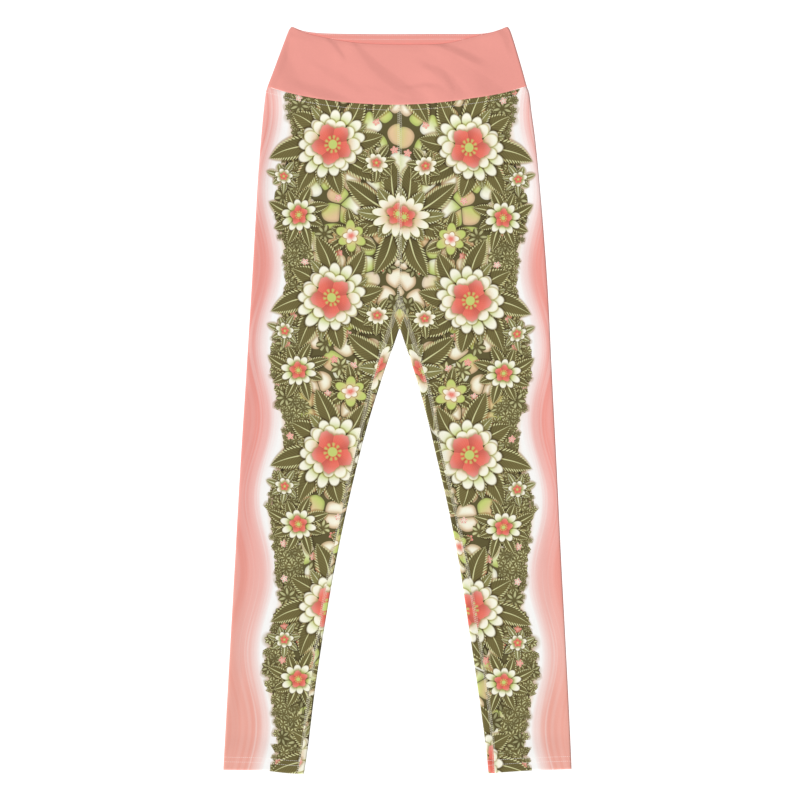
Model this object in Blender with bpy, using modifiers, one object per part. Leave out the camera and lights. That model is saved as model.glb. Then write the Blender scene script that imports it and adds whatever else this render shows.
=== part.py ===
"""High-waisted leggings laid flat on their back, front side up, for Blender 4.5.

Five sewn pieces, each a closed cloth wall: two legs cut without a side seam, a kite-shaped crotch
gusset, and the front and back halves of a wide doubled waistband.

Everything is in metres. +X runs to the wearer's left, +Y up to the waist and +Z out of the front.
The origin is on the floor, under the middle of the bounding box. Tables give places on the laid
garment as "below", the distance down from the waistband's top corners, and "right", "left" or
"across", the distance from the centre-front line.
"""

import math
from collections import namedtuple

import bmesh
import bpy

# ---------------------------------------------------------------- cloth
LEG_CLOTH = 0.0012
HEM_CLOTH = 0.0018
BAND_CLOTH = 0.0020
SEAM_GAP = 0.0003

# How thick the two layers lie: "lay" inside the outline, "roll" across the round folds at its edge.
Layers = namedtuple("Layers", "lay roll")
BAND_LAYERS = Layers(0.0053, 0.0053)
WAIST_LAYERS = Layers(0.0051, 0.0052)
BODY_LAYERS = Layers(0.0029, 0.0038)
HEM_LAYERS = Layers(0.0041, 0.0044)
ROLL_REACH = 0.018
WAIST_REACH = 0.028
HEM_REACH = 0.008

# ---------------------------------------------------------------- heights down the garment
FULL_LENGTH = 0.9487
WAIST_SEAM = 0.0986
GUSSET_TOP = 0.3467
CROTCH_FOLD = 0.3835
GUSSET_CORNER = 0.4026
HEM_DEPTH = 0.0160
SEAM_EASE = 0.120
HEM_EASE = 0.160
CROTCH_RADIUS = 0.0010

# ---------------------------------------------------------------- outline
Side = namedtuple("Side", "below right left")

# The outer folds, from the waistband's corners to the hems.
SIDE_FOLDS = (
    Side(0.0000, 0.1378, 0.1375),
    Side(0.0044, 0.1408, 0.1403),
    Side(0.0248, 0.1487, 0.1470),
    Side(0.0552, 0.1600, 0.1559),
    Side(0.0764, 0.1680, 0.1618),
    Side(0.0832, 0.1699, 0.1644),
    Side(0.1086, 0.1729, 0.1675),
    Side(0.1441, 0.1762, 0.1723),
    Side(0.1949, 0.1801, 0.1773),
    Side(0.2584, 0.1837, 0.1827),
    Side(0.3346, 0.1882, 0.1881),
    Side(0.4489, 0.1953, 0.1937),
    Side(0.5632, 0.2026, 0.1996),
    Side(0.6775, 0.2090, 0.2051),
    Side(0.7918, 0.2155, 0.2112),
    Side(0.9061, 0.2219, 0.2168),
    Side(0.9487, 0.2242, 0.2186),
)

# The inner folds, from the crotch to the hems.
INNER_FOLDS = (
    Side(0.3835, 0.0000, 0.0000),
    Side(0.4026, 0.0070, 0.0069),
    Side(0.4235, 0.0148, 0.0141),
    Side(0.4616, 0.0274, 0.0257),
    Side(0.4997, 0.0391, 0.0359),
    Side(0.5378, 0.0494, 0.0449),
    Side(0.6140, 0.0675, 0.0624),
    Side(0.6902, 0.0831, 0.0770),
    Side(0.7664, 0.0962, 0.0884),
    Side(0.8426, 0.1076, 0.0997),
    Side(0.9188, 0.1170, 0.1099),
    Side(0.9487, 0.1216, 0.1128),
)

# How far each leg's cloth comes round its inner fold on to the front, up to the inseam.
WRAPS = (
    Side(0.4026, 0.0123, 0.0124),
    Side(0.4310, 0.0112, 0.0122),
    Side(0.4700, 0.0093, 0.0112),
    Side(0.5200, 0.0065, 0.0086),
    Side(0.6000, 0.0058, 0.0084),
    Side(0.7000, 0.0062, 0.0096),
    Side(0.8290, 0.0070, 0.0114),
    Side(0.9000, 0.0068, 0.0098),
    Side(0.9487, 0.0079, 0.0079),
)

# The hem's edge at shares of the leg's width, from its inner fold to its outer one.
Hem = namedtuple("Hem", "share right left")
HEM_EDGE = (
    Hem(0.00, 0.9487, 0.9480),
    Hem(0.20, 0.9478, 0.9464),
    Hem(0.50, 0.9446, 0.9444),
    Hem(1.00, 0.9434, 0.9424),
)

# ---------------------------------------------------------------- waistband edges
Edge = namedtuple("Edge", "across below")
FRONT_TOP = (
    Edge(-0.1378, 0.0000),
    Edge(-0.1228, 0.0058),
    Edge(-0.1089, 0.0098),
    Edge(-0.0923, 0.0134),
    Edge(-0.0734, 0.0170),
    Edge(-0.0428, 0.0208),
    Edge(0.0042, 0.0223),
    Edge(0.0460, 0.0216),
    Edge(0.0626, 0.0196),
    Edge(0.0815, 0.0150),
    Edge(0.0980, 0.0108),
    Edge(0.1210, 0.0054),
    Edge(0.1375, 0.0000),
)
BACK_TOP = (
    Edge(-0.1378, 0.0000),
    Edge(-0.1222, 0.0048),
    Edge(-0.1107, 0.0067),
    Edge(-0.0950, 0.0081),
    Edge(-0.0250, 0.0091),
    Edge(0.0520, 0.0088),
    Edge(0.1000, 0.0086),
    Edge(0.1140, 0.0069),
    Edge(0.1255, 0.0038),
    Edge(0.1375, 0.0000),
)
FRONT_SEAM = (
    Edge(-0.1680, 0.0764),
    Edge(-0.1250, 0.0872),
    Edge(-0.0850, 0.0936),
    Edge(-0.0450, 0.0974),
    Edge(0.0000, 0.0986),
    Edge(0.0450, 0.0963),
    Edge(0.0850, 0.0914),
    Edge(0.1250, 0.0850),
    Edge(0.1618, 0.0758),
)
BACK_SEAM = (
    Edge(-0.1680, 0.0764),
    Edge(-0.0900, 0.0845),
    Edge(0.0000, 0.0875),
    Edge(0.0900, 0.0845),
    Edge(0.1618, 0.0758),
)

# Troughs that slant across the band's front, where it was pulled.
Crease = namedtuple("Crease", "start_across start_below end_across end_below start_width end_width depth")
CREASES = (
    Crease(-0.0850, 0.0190, -0.0660, 0.0380, 0.0040, 0.0050, 0.0006),
    Crease(-0.0530, 0.0250, -0.0190, 0.0550, 0.0045, 0.0070, 0.0008),
    Crease(-0.0190, 0.0550, 0.0160, 0.0830, 0.0070, 0.0090, 0.0008),
    Crease(-0.0890, 0.0570, -0.0540, 0.0760, 0.0070, 0.0080, 0.0004),
    Crease(-0.1120, 0.0730, -0.0820, 0.0900, 0.0070, 0.0070, 0.0006),
    Crease(-0.1410, 0.0200, -0.1480, 0.0560, 0.0060, 0.0090, 0.0005),
    Crease(0.0600, 0.0250, 0.0960, 0.0400, 0.0045, 0.0070, 0.0008),
    Crease(0.0300, 0.0480, 0.0550, 0.0570, 0.0050, 0.0070, 0.0004),
    Crease(0.0550, 0.0570, 0.0730, 0.0830, 0.0070, 0.0080, 0.0006),
    Crease(0.0880, 0.0580, 0.1160, 0.0800, 0.0120, 0.0150, 0.0004),
)
CREASE_END = 0.009
SHARP_ANGLE = math.radians(60)

# ---------------------------------------------------------------- how finely each sheet is divided
FRONT_COLUMNS = 13
FOLD_COLUMNS = 4
BACK_COLUMNS = 6
UNDER_COLUMNS = 2
WRAP_COLUMNS = 2
WAIST_ROWS = 3
HIP_ROWS = 7
GUSSET_ROWS = 5
LEG_ROWS = 15
HEM_ROWS = 2
BAND_FRONT_GRID = (46, 14)
BAND_BACK_GRID = (30, 7)
BAND_ROLL_COLUMNS = 3
BAND_ROLL_RADIUS = 0.0022
GUSSET_EDGE = 4
GUSSET_TIP = 3
GUSSET_FLAT = 3

# ---------------------------------------------------------------- finishes
Finish = namedtuple("Finish", "color roughness")
PRINTED_KNIT = Finish((0.33, 0.25, 0.13), 0.72)
CORAL_KNIT = Finish((0.86, 0.34, 0.29), 0.74)

CENTRE_FRONT = (SIDE_FOLDS[-1].right - SIDE_FOLDS[-1].left) / 2


# ---------------------------------------------------------------- small helpers
def blend(start, end, share):
    return start + (end - start) * share


def soft_step(value, start, end):
    """0 before start, 1 after end, and an even S between them."""
    share = min(max((value - start) / (end - start), 0.0), 1.0)
    return share * share * (3 - 2 * share)


def spread(start, end, steps):
    """Even places from start up to, but not at, end."""
    return [blend(start, end, step / steps) for step in range(steps)]


def read_curve(table, at, column):
    """Read a column at any place along the table's first column, as a smooth cubic curve."""
    places = [row[0] for row in table]
    values = [getattr(row, column) for row in table]
    last = len(table) - 1
    at = min(max(at, places[0]), places[last])
    row = max(index for index in range(last) if places[index] <= at)

    def slope(index):
        before = max(index - 1, 0)
        after = min(index + 1, last)
        return (values[after] - values[before]) / (places[after] - places[before])

    run = places[row + 1] - places[row]
    share = (at - places[row]) / run
    rise = values[row + 1] - values[row]
    bulge_start = (slope(row) * run - rise) * share * (1 - share) ** 2
    bulge_end = (slope(row + 1) * run - rise) * share ** 2 * (1 - share)
    return blend(values[row], values[row + 1], share) + bulge_start - bulge_end


def place(across, below, height):
    """A point from its distance off the centre-front line, distance down and height."""
    return (CENTRE_FRONT + across, FULL_LENGTH / 2 - below, height)


def side_name(across):
    return "left" if across > 0 else "right"


# ---------------------------------------------------------------- where the cloth lies
def edge_distance(across, below):
    """How far a spot lies in from the nearest fold of the legs' outline."""
    side = side_name(across)
    from_side = read_curve(SIDE_FOLDS, below, side) - abs(across)
    if below > CROTCH_FOLD:
        from_inside = abs(across) - read_curve(INNER_FOLDS, below, side)
    else:
        from_inside = math.hypot(across, CROTCH_FOLD - below)
    return min(from_side, from_inside)


def layers_at(row):
    """Lay and roll of a leg at a row, thicker at the waist seam and at the hem."""
    near_waist = 1 - soft_step(row, WAIST_SEAM, WAIST_SEAM + WAIST_REACH)
    hem_line = FULL_LENGTH - HEM_DEPTH
    near_hem = soft_step(row, hem_line - HEM_REACH, hem_line)
    lay, roll = (
        body + (waist - body) * near_waist + (hem - body) * near_hem
        for body, waist, hem in zip(BODY_LAYERS, WAIST_LAYERS, HEM_LAYERS)
    )
    return Layers(lay, roll)


def top_height(across, below, row):
    """Height of the upper layer's face, fuller beside the folds."""
    layers = layers_at(row)
    near_fold = 1 - soft_step(edge_distance(across, below), layers.roll / 2, ROLL_REACH)
    return blend(layers.lay, layers.roll, near_fold)


def seam_line(side, below):
    """Distance of the gusset's seam, and below it of the inseam, from the centre-front line."""
    corner = read_curve(INNER_FOLDS, GUSSET_CORNER, side) + read_curve(WRAPS, GUSSET_CORNER, side)
    if below <= GUSSET_CORNER:
        return corner * max(below - GUSSET_TOP, 0) / (GUSSET_CORNER - GUSSET_TOP)
    return read_curve(INNER_FOLDS, below, side) + read_curve(WRAPS, below, side)


def bend_row(row, across, share, side, seam):
    """Distance down of a leg's row, bent to follow the waist seam above and the hem below."""
    near_seam = 1 - soft_step(row, WAIST_SEAM, WAIST_SEAM + SEAM_EASE)
    near_hem = soft_step(row, FULL_LENGTH - HEM_EASE, FULL_LENGTH)
    seam_shift = (read_curve(seam, across, "below") - WAIST_SEAM) * near_seam
    hem_shift = (read_curve(HEM_EDGE, share, side) - FULL_LENGTH) * near_hem
    return row + seam_shift + hem_shift


# ---------------------------------------------------------------- building a cloth wall
def make_finish(name, finish):
    material = bpy.data.materials.new(name)
    material.use_nodes = True
    shader = material.node_tree.nodes["Principled BSDF"]
    shader.inputs["Base Color"].default_value = (*finish.color, 1.0)
    shader.inputs["Roughness"].default_value = finish.roughness
    shader.inputs["Metallic"].default_value = 0.0
    material.diffuse_color = (*finish.color, 1.0)
    return material


def make_cloth(name, grid, point_at, wall, finish, home, left_out=None, face_down=False, thin_rows=None):
    """Lay a grid of cloth through point_at(column, row) and thicken it inwards to a closed wall.

    left_out(column, row) says which cells the cut leaves away. With thin_rows, the rows before it
    keep only the share LEG_CLOTH / wall of the wall.
    """
    columns, rows = grid
    sheet = bmesh.new()
    bmesh.ops.create_grid(sheet, x_segments=columns, y_segments=rows, size=0.5)
    cells = {}
    for vertex in sheet.verts:
        column = round((vertex.co.x + 0.5) * columns)
        row = round((vertex.co.y + 0.5) * rows)
        cells[vertex] = (column, row)
        vertex.co = point_at(column, row)
    if left_out:
        gone = []
        for face in sheet.faces:
            column = min(cells[vertex][0] for vertex in face.verts)
            row = min(cells[vertex][1] for vertex in face.verts)
            if left_out(column, row):
                gone.append(face)
        bmesh.ops.delete(sheet, geom=gone, context="FACES")
    if face_down:
        bmesh.ops.reverse_faces(sheet, faces=sheet.faces)
    sheet.verts.index_update()
    hem_start = rows + 1 if thin_rows is None else thin_rows
    turned_up = [vertex.index for vertex in sheet.verts if cells[vertex][1] >= hem_start]

    mesh = bpy.data.meshes.new(name)
    sheet.to_mesh(mesh)
    sheet.free()
    mesh.shade_smooth()
    piece = bpy.data.objects.new(name, mesh)
    home.objects.link(piece)
    mesh.materials.append(make_finish(name + "_finish", finish))

    thicken = piece.modifiers.new("Cloth", "SOLIDIFY")
    thicken.thickness = wall
    thicken.offset = -1.0
    thicken.use_even_offset = True
    thicken.use_quality_normals = True
    if turned_up:
        hem = piece.vertex_groups.new(name="hem")
        hem.add(turned_up, 1.0, "REPLACE")
        thicken.vertex_group = hem.name
        thicken.thickness_vertex_group = LEG_CLOTH / wall
    mesh.set_sharp_from_angle(angle=SHARP_ANGLE)


# ---------------------------------------------------------------- legs
def leg_columns():
    """Steps round a leg from the front seam over the outer fold and under to the inseam."""
    columns = [("front", step / FRONT_COLUMNS) for step in range(FRONT_COLUMNS)]
    columns += [("outer_fold", step / FOLD_COLUMNS) for step in range(FOLD_COLUMNS)]
    columns += [("back", step / BACK_COLUMNS) for step in range(BACK_COLUMNS)]
    columns += [("under", step / UNDER_COLUMNS) for step in range(UNDER_COLUMNS)]
    columns += [("inner_fold", step / FOLD_COLUMNS) for step in range(FOLD_COLUMNS)]
    columns += [("wrap", step / WRAP_COLUMNS) for step in range(WRAP_COLUMNS + 1)]
    return columns


def leg_rows():
    """Rows down a leg. One lies on each end of the gusset and on the line of the hem."""
    hem_line = FULL_LENGTH - HEM_DEPTH
    rows = spread(WAIST_SEAM + SEAM_GAP / 2, WAIST_SEAM + WAIST_REACH, WAIST_ROWS)
    rows += spread(WAIST_SEAM + WAIST_REACH, GUSSET_TOP, HIP_ROWS)
    rows += spread(GUSSET_TOP, GUSSET_CORNER + SEAM_GAP / 2, GUSSET_ROWS)
    rows += spread(GUSSET_CORNER + SEAM_GAP / 2, hem_line - HEM_REACH, LEG_ROWS)
    rows += [hem_line - HEM_REACH]
    rows += spread(hem_line, FULL_LENGTH, HEM_ROWS) + [FULL_LENGTH]
    return rows


def leg_spot(side, zone, share, row):
    """A point on a leg's outer face."""
    sign = 1 if side == "left" else -1
    radius = layers_at(row).roll / 2
    side_below = bend_row(row, sign * read_curve(SIDE_FOLDS, WAIST_SEAM, side), 1.0, side, FRONT_SEAM)
    outer = read_curve(SIDE_FOLDS, side_below, side)
    inner = read_curve(INNER_FOLDS, row, side)
    seam = seam_line(side, row)

    if zone == "outer_fold":
        angle = math.pi * share
        return place(sign * (outer - radius + radius * math.sin(angle)), side_below,
                     radius + radius * math.cos(angle))
    if zone == "inner_fold":
        angle = math.pi * share
        fold_below = bend_row(row, sign * inner, 0.0, side, BACK_SEAM)
        return place(sign * (inner + radius - radius * math.sin(angle)), fold_below,
                     radius - radius * math.cos(angle))

    if zone == "front":
        off = blend(seam + SEAM_GAP / 2, outer - radius, share)
    elif zone == "back":
        off = blend(outer - radius, seam + SEAM_GAP / 2, share)
    elif zone == "under":
        off = blend(seam + SEAM_GAP / 2, inner + radius, share)
    else:
        off = blend(inner + radius, seam - SEAM_GAP / 2, share)
    across = sign * off
    lower = zone in ("back", "under")
    width_share = (off - inner) / (outer - inner)
    below = bend_row(row, across, width_share, side, BACK_SEAM if lower else FRONT_SEAM)
    return place(across, below, 0.0 if lower else top_height(across, below, row))


def build_leg(side, home):
    """One leg: a C round the hip, and from the gusset's corner down a tube slit at the inseam."""
    columns = leg_columns()
    rows = leg_rows()
    tube_column = FRONT_COLUMNS + FOLD_COLUMNS + BACK_COLUMNS
    tube_row = WAIST_ROWS + HIP_ROWS + GUSSET_ROWS
    hem_row = tube_row + LEG_ROWS + 1

    def point_at(column, row):
        zone, share = columns[column]
        return leg_spot(side, zone, share, rows[row])

    def left_out(column, row):
        return column >= tube_column and row < tube_row

    grid = (len(columns) - 1, len(rows) - 1)
    make_cloth(side + "_leg", grid, point_at, HEM_CLOTH, PRINTED_KNIT, home,
               left_out=left_out, face_down=side == "left", thin_rows=hem_row)


# ---------------------------------------------------------------- gusset
def crotch_edge(step):
    """A point of the crotch's fold, seen from above, and the way into the cloth there.

    Steps run from the right corner through the round tip between the legs to the left corner.
    """
    middle = GUSSET_EDGE + GUSSET_TIP
    side = "left" if step > middle else "right"
    sign = 1 if step > middle else -1
    off_middle = abs(step - middle)
    tip_below = CROTCH_FOLD + CROTCH_RADIUS
    if off_middle < GUSSET_TIP:
        angle = math.pi / 2 * off_middle / GUSSET_TIP
        way = (sign * math.sin(angle), -math.cos(angle))
        return (way[0] * CROTCH_RADIUS, tip_below + way[1] * CROTCH_RADIUS), way
    share = (off_middle - GUSSET_TIP) / GUSSET_EDGE
    corner = read_curve(INNER_FOLDS, GUSSET_CORNER, side)
    return (
        (sign * blend(CROTCH_RADIUS, corner, share), blend(tip_below, GUSSET_CORNER - SEAM_GAP / 2, share)),
        (sign, 0.0),
    )


def gusset_seam(step):
    """The point of the gusset's seam that belongs to a step along its fold."""
    middle = GUSSET_EDGE + GUSSET_TIP
    sign = 1 if step > middle else -1
    slope = seam_line("right", GUSSET_CORNER) / (GUSSET_CORNER - GUSSET_TOP)
    top = GUSSET_TOP + SEAM_GAP / 2 / slope
    below = blend(top, GUSSET_CORNER - SEAM_GAP / 2, abs(step - middle) / middle)
    side = "left" if sign > 0 else "right"
    return sign * max(seam_line(side, below) - SEAM_GAP / 2, 0.0), below


def build_gusset(home):
    """The gusset: its front and back halves lie on each other and join round the crotch's fold."""
    radius = BODY_LAYERS.roll / 2
    columns = 2 * (GUSSET_EDGE + GUSSET_TIP)
    rows = 2 * GUSSET_FLAT + FOLD_COLUMNS

    def point_at(column, row):
        (edge_across, edge_below), way = crotch_edge(column)
        if GUSSET_FLAT <= row <= GUSSET_FLAT + FOLD_COLUMNS:
            angle = math.pi * (row - GUSSET_FLAT) / FOLD_COLUMNS
            inset = radius * (1 - math.sin(angle))
            return place(edge_across + way[0] * inset, edge_below + way[1] * inset,
                         radius * (1 - math.cos(angle)))
        seam_across, seam_below = gusset_seam(column)
        lower = row < GUSSET_FLAT
        share = (GUSSET_FLAT - row if lower else row - GUSSET_FLAT - FOLD_COLUMNS) / GUSSET_FLAT
        across = blend(edge_across + way[0] * radius, seam_across, share)
        below = blend(edge_below + way[1] * radius, seam_below, share)
        return place(across, below, 0.0 if lower else top_height(across, below, below))

    make_cloth("gusset", (columns, rows), point_at, LEG_CLOTH, PRINTED_KNIT, home)


# ---------------------------------------------------------------- waistband
def crease_depth(across, below):
    """How far the band's front is pressed in at a spot."""
    depth = 0.0
    for crease in CREASES:
        run_across = crease.end_across - crease.start_across
        run_below = crease.end_below - crease.start_below
        length = math.hypot(run_across, run_below)
        from_start = (across - crease.start_across, below - crease.start_below)
        along = (from_start[0] * run_across + from_start[1] * run_below) / length
        off = (from_start[0] * run_below - from_start[1] * run_across) / length
        share = min(max(along / length, 0.0), 1.0)
        width = blend(crease.start_width, crease.end_width, share)
        past_end = max(-along, along - length, 0.0)
        depth = max(depth, crease.depth * math.exp(-(off / width) ** 2 - (past_end / CREASE_END) ** 2))
    return depth


def band_spot(top, seam, share, drop):
    """Side and distance down of a band's point, from its shares of the half width and the depth."""
    side = side_name(share)
    corner = seam[-1] if side == "left" else seam[0]
    top_across = share * read_curve(SIDE_FOLDS, 0.0, side)
    seam_across = share * abs(corner.across)
    seam_below = read_curve(seam, seam_across, "below") - SEAM_GAP / 2
    return side, blend(read_curve(top, top_across, "below"), seam_below, drop)


def build_band(name, grid, top, seam, front, home):
    """Half of the waistband, from one side fold to the other, where it meets the other half."""
    columns, rows = grid
    roll_columns = BAND_ROLL_COLUMNS + 1
    flat_columns = columns - 2 * roll_columns
    rounding = BAND_ROLL_RADIUS
    middle = BAND_LAYERS.roll / 2

    def point_at(column, row):
        drop = 1 - row / rows if front else row / rows
        share = min(max((column - roll_columns) / flat_columns, 0.0), 1.0) * 2 - 1
        side, below = band_spot(top, seam, share, drop)
        reach = read_curve(SIDE_FOLDS, below, side)
        from_edge = min(column, columns - column)
        if from_edge >= roll_columns:
            across = share * (reach - rounding)
            height = BAND_LAYERS.lay - crease_depth(across, below) if front else 0.0
            return place(across, below, height)
        if from_edge == 0:
            off, depth = reach, middle - SEAM_GAP / 2
        else:
            angle = math.pi / 2 * (roll_columns - from_edge) / BAND_ROLL_COLUMNS
            off = reach - rounding + rounding * math.sin(angle)
            depth = rounding - rounding * math.cos(angle)
        return place(share * off, below, BAND_LAYERS.roll - depth if front else depth)

    make_cloth(name, grid, point_at, BAND_CLOTH, CORAL_KNIT, home)


# ---------------------------------------------------------------- the whole garment
def clear_scene():
    for thing in list(bpy.data.objects):
        bpy.data.objects.remove(thing, do_unlink=True)


def main():
    clear_scene()
    home = bpy.data.collections.new("leggings")
    bpy.context.scene.collection.children.link(home)
    build_leg("right", home)
    build_leg("left", home)
    build_gusset(home)
    build_band("waistband_front", BAND_FRONT_GRID, FRONT_TOP, FRONT_SEAM, True, home)
    build_band("waistband_back", BAND_BACK_GRID, BACK_TOP, BACK_SEAM, False, home)


main()
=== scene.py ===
"""Looks of a pair of high-waisted leggings laid flat, front side up.

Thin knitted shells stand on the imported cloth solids: two printed legs, a gusset and a plain waistband
in two halves. Threads are laid over them one by one: the flat seams, the topstitching and the hems.

Everything is in metres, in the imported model's frame: +X to the wearer's left, +Y up to the waist, +Z
out of the front. Tables give places on the laid garment as "below", the distance down from the
waistband's top corners, and "right", "left" or "across", the distance from the centre-front line.
"""

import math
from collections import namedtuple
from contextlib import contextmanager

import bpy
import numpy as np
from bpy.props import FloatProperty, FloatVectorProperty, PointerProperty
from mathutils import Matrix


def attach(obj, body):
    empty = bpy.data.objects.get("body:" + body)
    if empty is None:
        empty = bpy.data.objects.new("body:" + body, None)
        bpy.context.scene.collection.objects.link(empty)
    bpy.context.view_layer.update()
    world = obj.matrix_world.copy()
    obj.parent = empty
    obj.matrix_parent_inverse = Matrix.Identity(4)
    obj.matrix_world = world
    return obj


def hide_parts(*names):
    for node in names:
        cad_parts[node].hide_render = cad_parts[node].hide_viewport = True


bl_info = {
    "name": "Laid-out leggings",
    "version": (1, 0, 0),
    "blender": (4, 5, 0),
    "location": "3D View > Sidebar > Leggings",
    "description": "Knitted shells, stitching, print and stage for leggings laid flat",
    "category": "Mesh",
}

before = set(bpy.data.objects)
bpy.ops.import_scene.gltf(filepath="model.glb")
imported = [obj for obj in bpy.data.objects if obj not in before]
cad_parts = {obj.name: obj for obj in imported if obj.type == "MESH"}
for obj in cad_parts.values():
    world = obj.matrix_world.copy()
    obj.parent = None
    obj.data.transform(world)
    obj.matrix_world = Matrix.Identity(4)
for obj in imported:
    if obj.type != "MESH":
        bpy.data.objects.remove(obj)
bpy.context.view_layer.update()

SIDES = ("right", "left")
SIGN = {"right": -1, "left": 1}

# ---------------- heights down the garment
FULL_LENGTH = 0.9487
WAIST_SEAM = 0.0986
GUSSET_TOP = 0.3467
CROTCH_FOLD = 0.3835
GUSSET_CORNER = 0.4026
HEM_DEPTH = 0.0160
HEM_LINE = FULL_LENGTH - HEM_DEPTH
CROTCH_RADIUS = 0.0010
SEAM_GAP = 0.00004

# How far down from the waist seam, and up from the hem, the legs' rows bend to follow them.
SEAM_EASE = 0.120
HEM_EASE = 0.160

# How thick the two layers lie: "lay" inside the outline, "roll" across the round folds at its edge.
Layers = namedtuple("Layers", "lay roll")
WAIST_LAYERS = Layers(0.0051, 0.0052)
BODY_LAYERS = Layers(0.0029, 0.0038)
HEM_LAYERS = Layers(0.0041, 0.0044)
BAND_ROLL = 0.0053
ROLL_REACH = 0.018
WAIST_REACH = 0.045
HEM_REACH = 0.032
BAND_ROLL_RADIUS = 0.0022
# The hem's edge is rounded over a little more than its own thickness.
HEM_ROUNDING = 0.0002


# ---------------- outline
def table(columns, *rows):
    """Rows of numbers under named columns."""
    named_row = namedtuple("named_row", columns)
    return tuple(named_row(*row) for row in rows)


# The outer folds, from the waistband's corners to the hems.
SIDE_FOLDS = table(
    "below right left",
    (0.0000, 0.1378, 0.1375), (0.0044, 0.1408, 0.1403), (0.0248, 0.1487, 0.1470),
    (0.0552, 0.1600, 0.1559), (0.0764, 0.1680, 0.1618), (0.0832, 0.1699, 0.1644),
    (0.1086, 0.1729, 0.1675), (0.1441, 0.1762, 0.1723), (0.1949, 0.1801, 0.1773),
    (0.2584, 0.1837, 0.1827), (0.3346, 0.1882, 0.1881), (0.4489, 0.1953, 0.1937),
    (0.5632, 0.2026, 0.1996), (0.6775, 0.2090, 0.2051), (0.7918, 0.2155, 0.2112),
    (0.9061, 0.2219, 0.2168), (0.9487, 0.2242, 0.2186),
)
# The inner folds, from the crotch to the hems.
INNER_FOLDS = table(
    "below right left",
    (0.3835, 0.0000, 0.0000), (0.4026, 0.0070, 0.0069), (0.4235, 0.0148, 0.0141),
    (0.4616, 0.0274, 0.0257), (0.4997, 0.0391, 0.0359), (0.5378, 0.0494, 0.0449),
    (0.6140, 0.0675, 0.0624), (0.6902, 0.0831, 0.0770), (0.7664, 0.0962, 0.0884),
    (0.8426, 0.1076, 0.0997), (0.9188, 0.1170, 0.1099), (0.9487, 0.1216, 0.1128),
)
# How far each leg's cloth comes round its inner fold on to the front, up to the inseam.
WRAPS = table(
    "below right left",
    (0.4026, 0.0123, 0.0124), (0.4310, 0.0112, 0.0122), (0.4700, 0.0093, 0.0112),
    (0.5200, 0.0065, 0.0086), (0.6000, 0.0058, 0.0084), (0.7000, 0.0062, 0.0096),
    (0.8290, 0.0070, 0.0114), (0.9000, 0.0068, 0.0098), (0.9487, 0.0079, 0.0079),
)
# The hem's edge at shares of the leg's width, from its inner fold to its outer one.
HEM_EDGE = table(
    "share right left",
    (0.00, 0.9487, 0.9480), (0.20, 0.9478, 0.9464), (0.50, 0.9446, 0.9444), (1.00, 0.9434, 0.9424),
)
CENTRE_FRONT = (SIDE_FOLDS[-1].right - SIDE_FOLDS[-1].left) / 2

# The waistband's top edges and seams.
FRONT_TOP = table(
    "across below",
    (-0.1378, 0.0000), (-0.1228, 0.0058), (-0.1089, 0.0098), (-0.0923, 0.0134), (-0.0734, 0.0170),
    (-0.0428, 0.0208), (0.0042, 0.0223), (0.0460, 0.0216), (0.0626, 0.0196), (0.0815, 0.0150),
    (0.0980, 0.0108), (0.1210, 0.0054), (0.1375, 0.0000),
)
BACK_TOP = table(
    "across below",
    (-0.1378, 0.0000), (-0.1222, 0.0048), (-0.1107, 0.0067), (-0.0950, 0.0081), (-0.0250, 0.0091),
    (0.0520, 0.0088), (0.1000, 0.0086), (0.1140, 0.0069), (0.1255, 0.0038), (0.1375, 0.0000),
)
FRONT_SEAM = table(
    "across below",
    (-0.1680, 0.0764), (-0.1250, 0.0872), (-0.0850, 0.0936), (-0.0450, 0.0974), (0.0000, 0.0986),
    (0.0450, 0.0963), (0.0850, 0.0914), (0.1250, 0.0850), (0.1618, 0.0758),
)
BACK_SEAM = table(
    "across below",
    (-0.1680, 0.0764), (-0.0900, 0.0845), (0.0000, 0.0875), (0.0900, 0.0845), (0.1618, 0.0758),
)

# ---------------- creases
# Where the cloth was pulled, each crease is a ridge on the right hand of its path and a trough on the
# left. Between them the cloth falls as steeply as "slope", over "width", and beyond them it eases back.
Bend = namedtuple("Bend", "across below width")
Crease = namedtuple("Crease", "slope path")
Creases = namedtuple("Creases", "deepest rows")


def creases(deepest, *rows):
    """Creases, none deeper than stated, from rows of a slope and the bends of a path."""
    return Creases(deepest, [Crease(slope, [Bend(*bend) for bend in path]) for slope, *path in rows])


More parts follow.
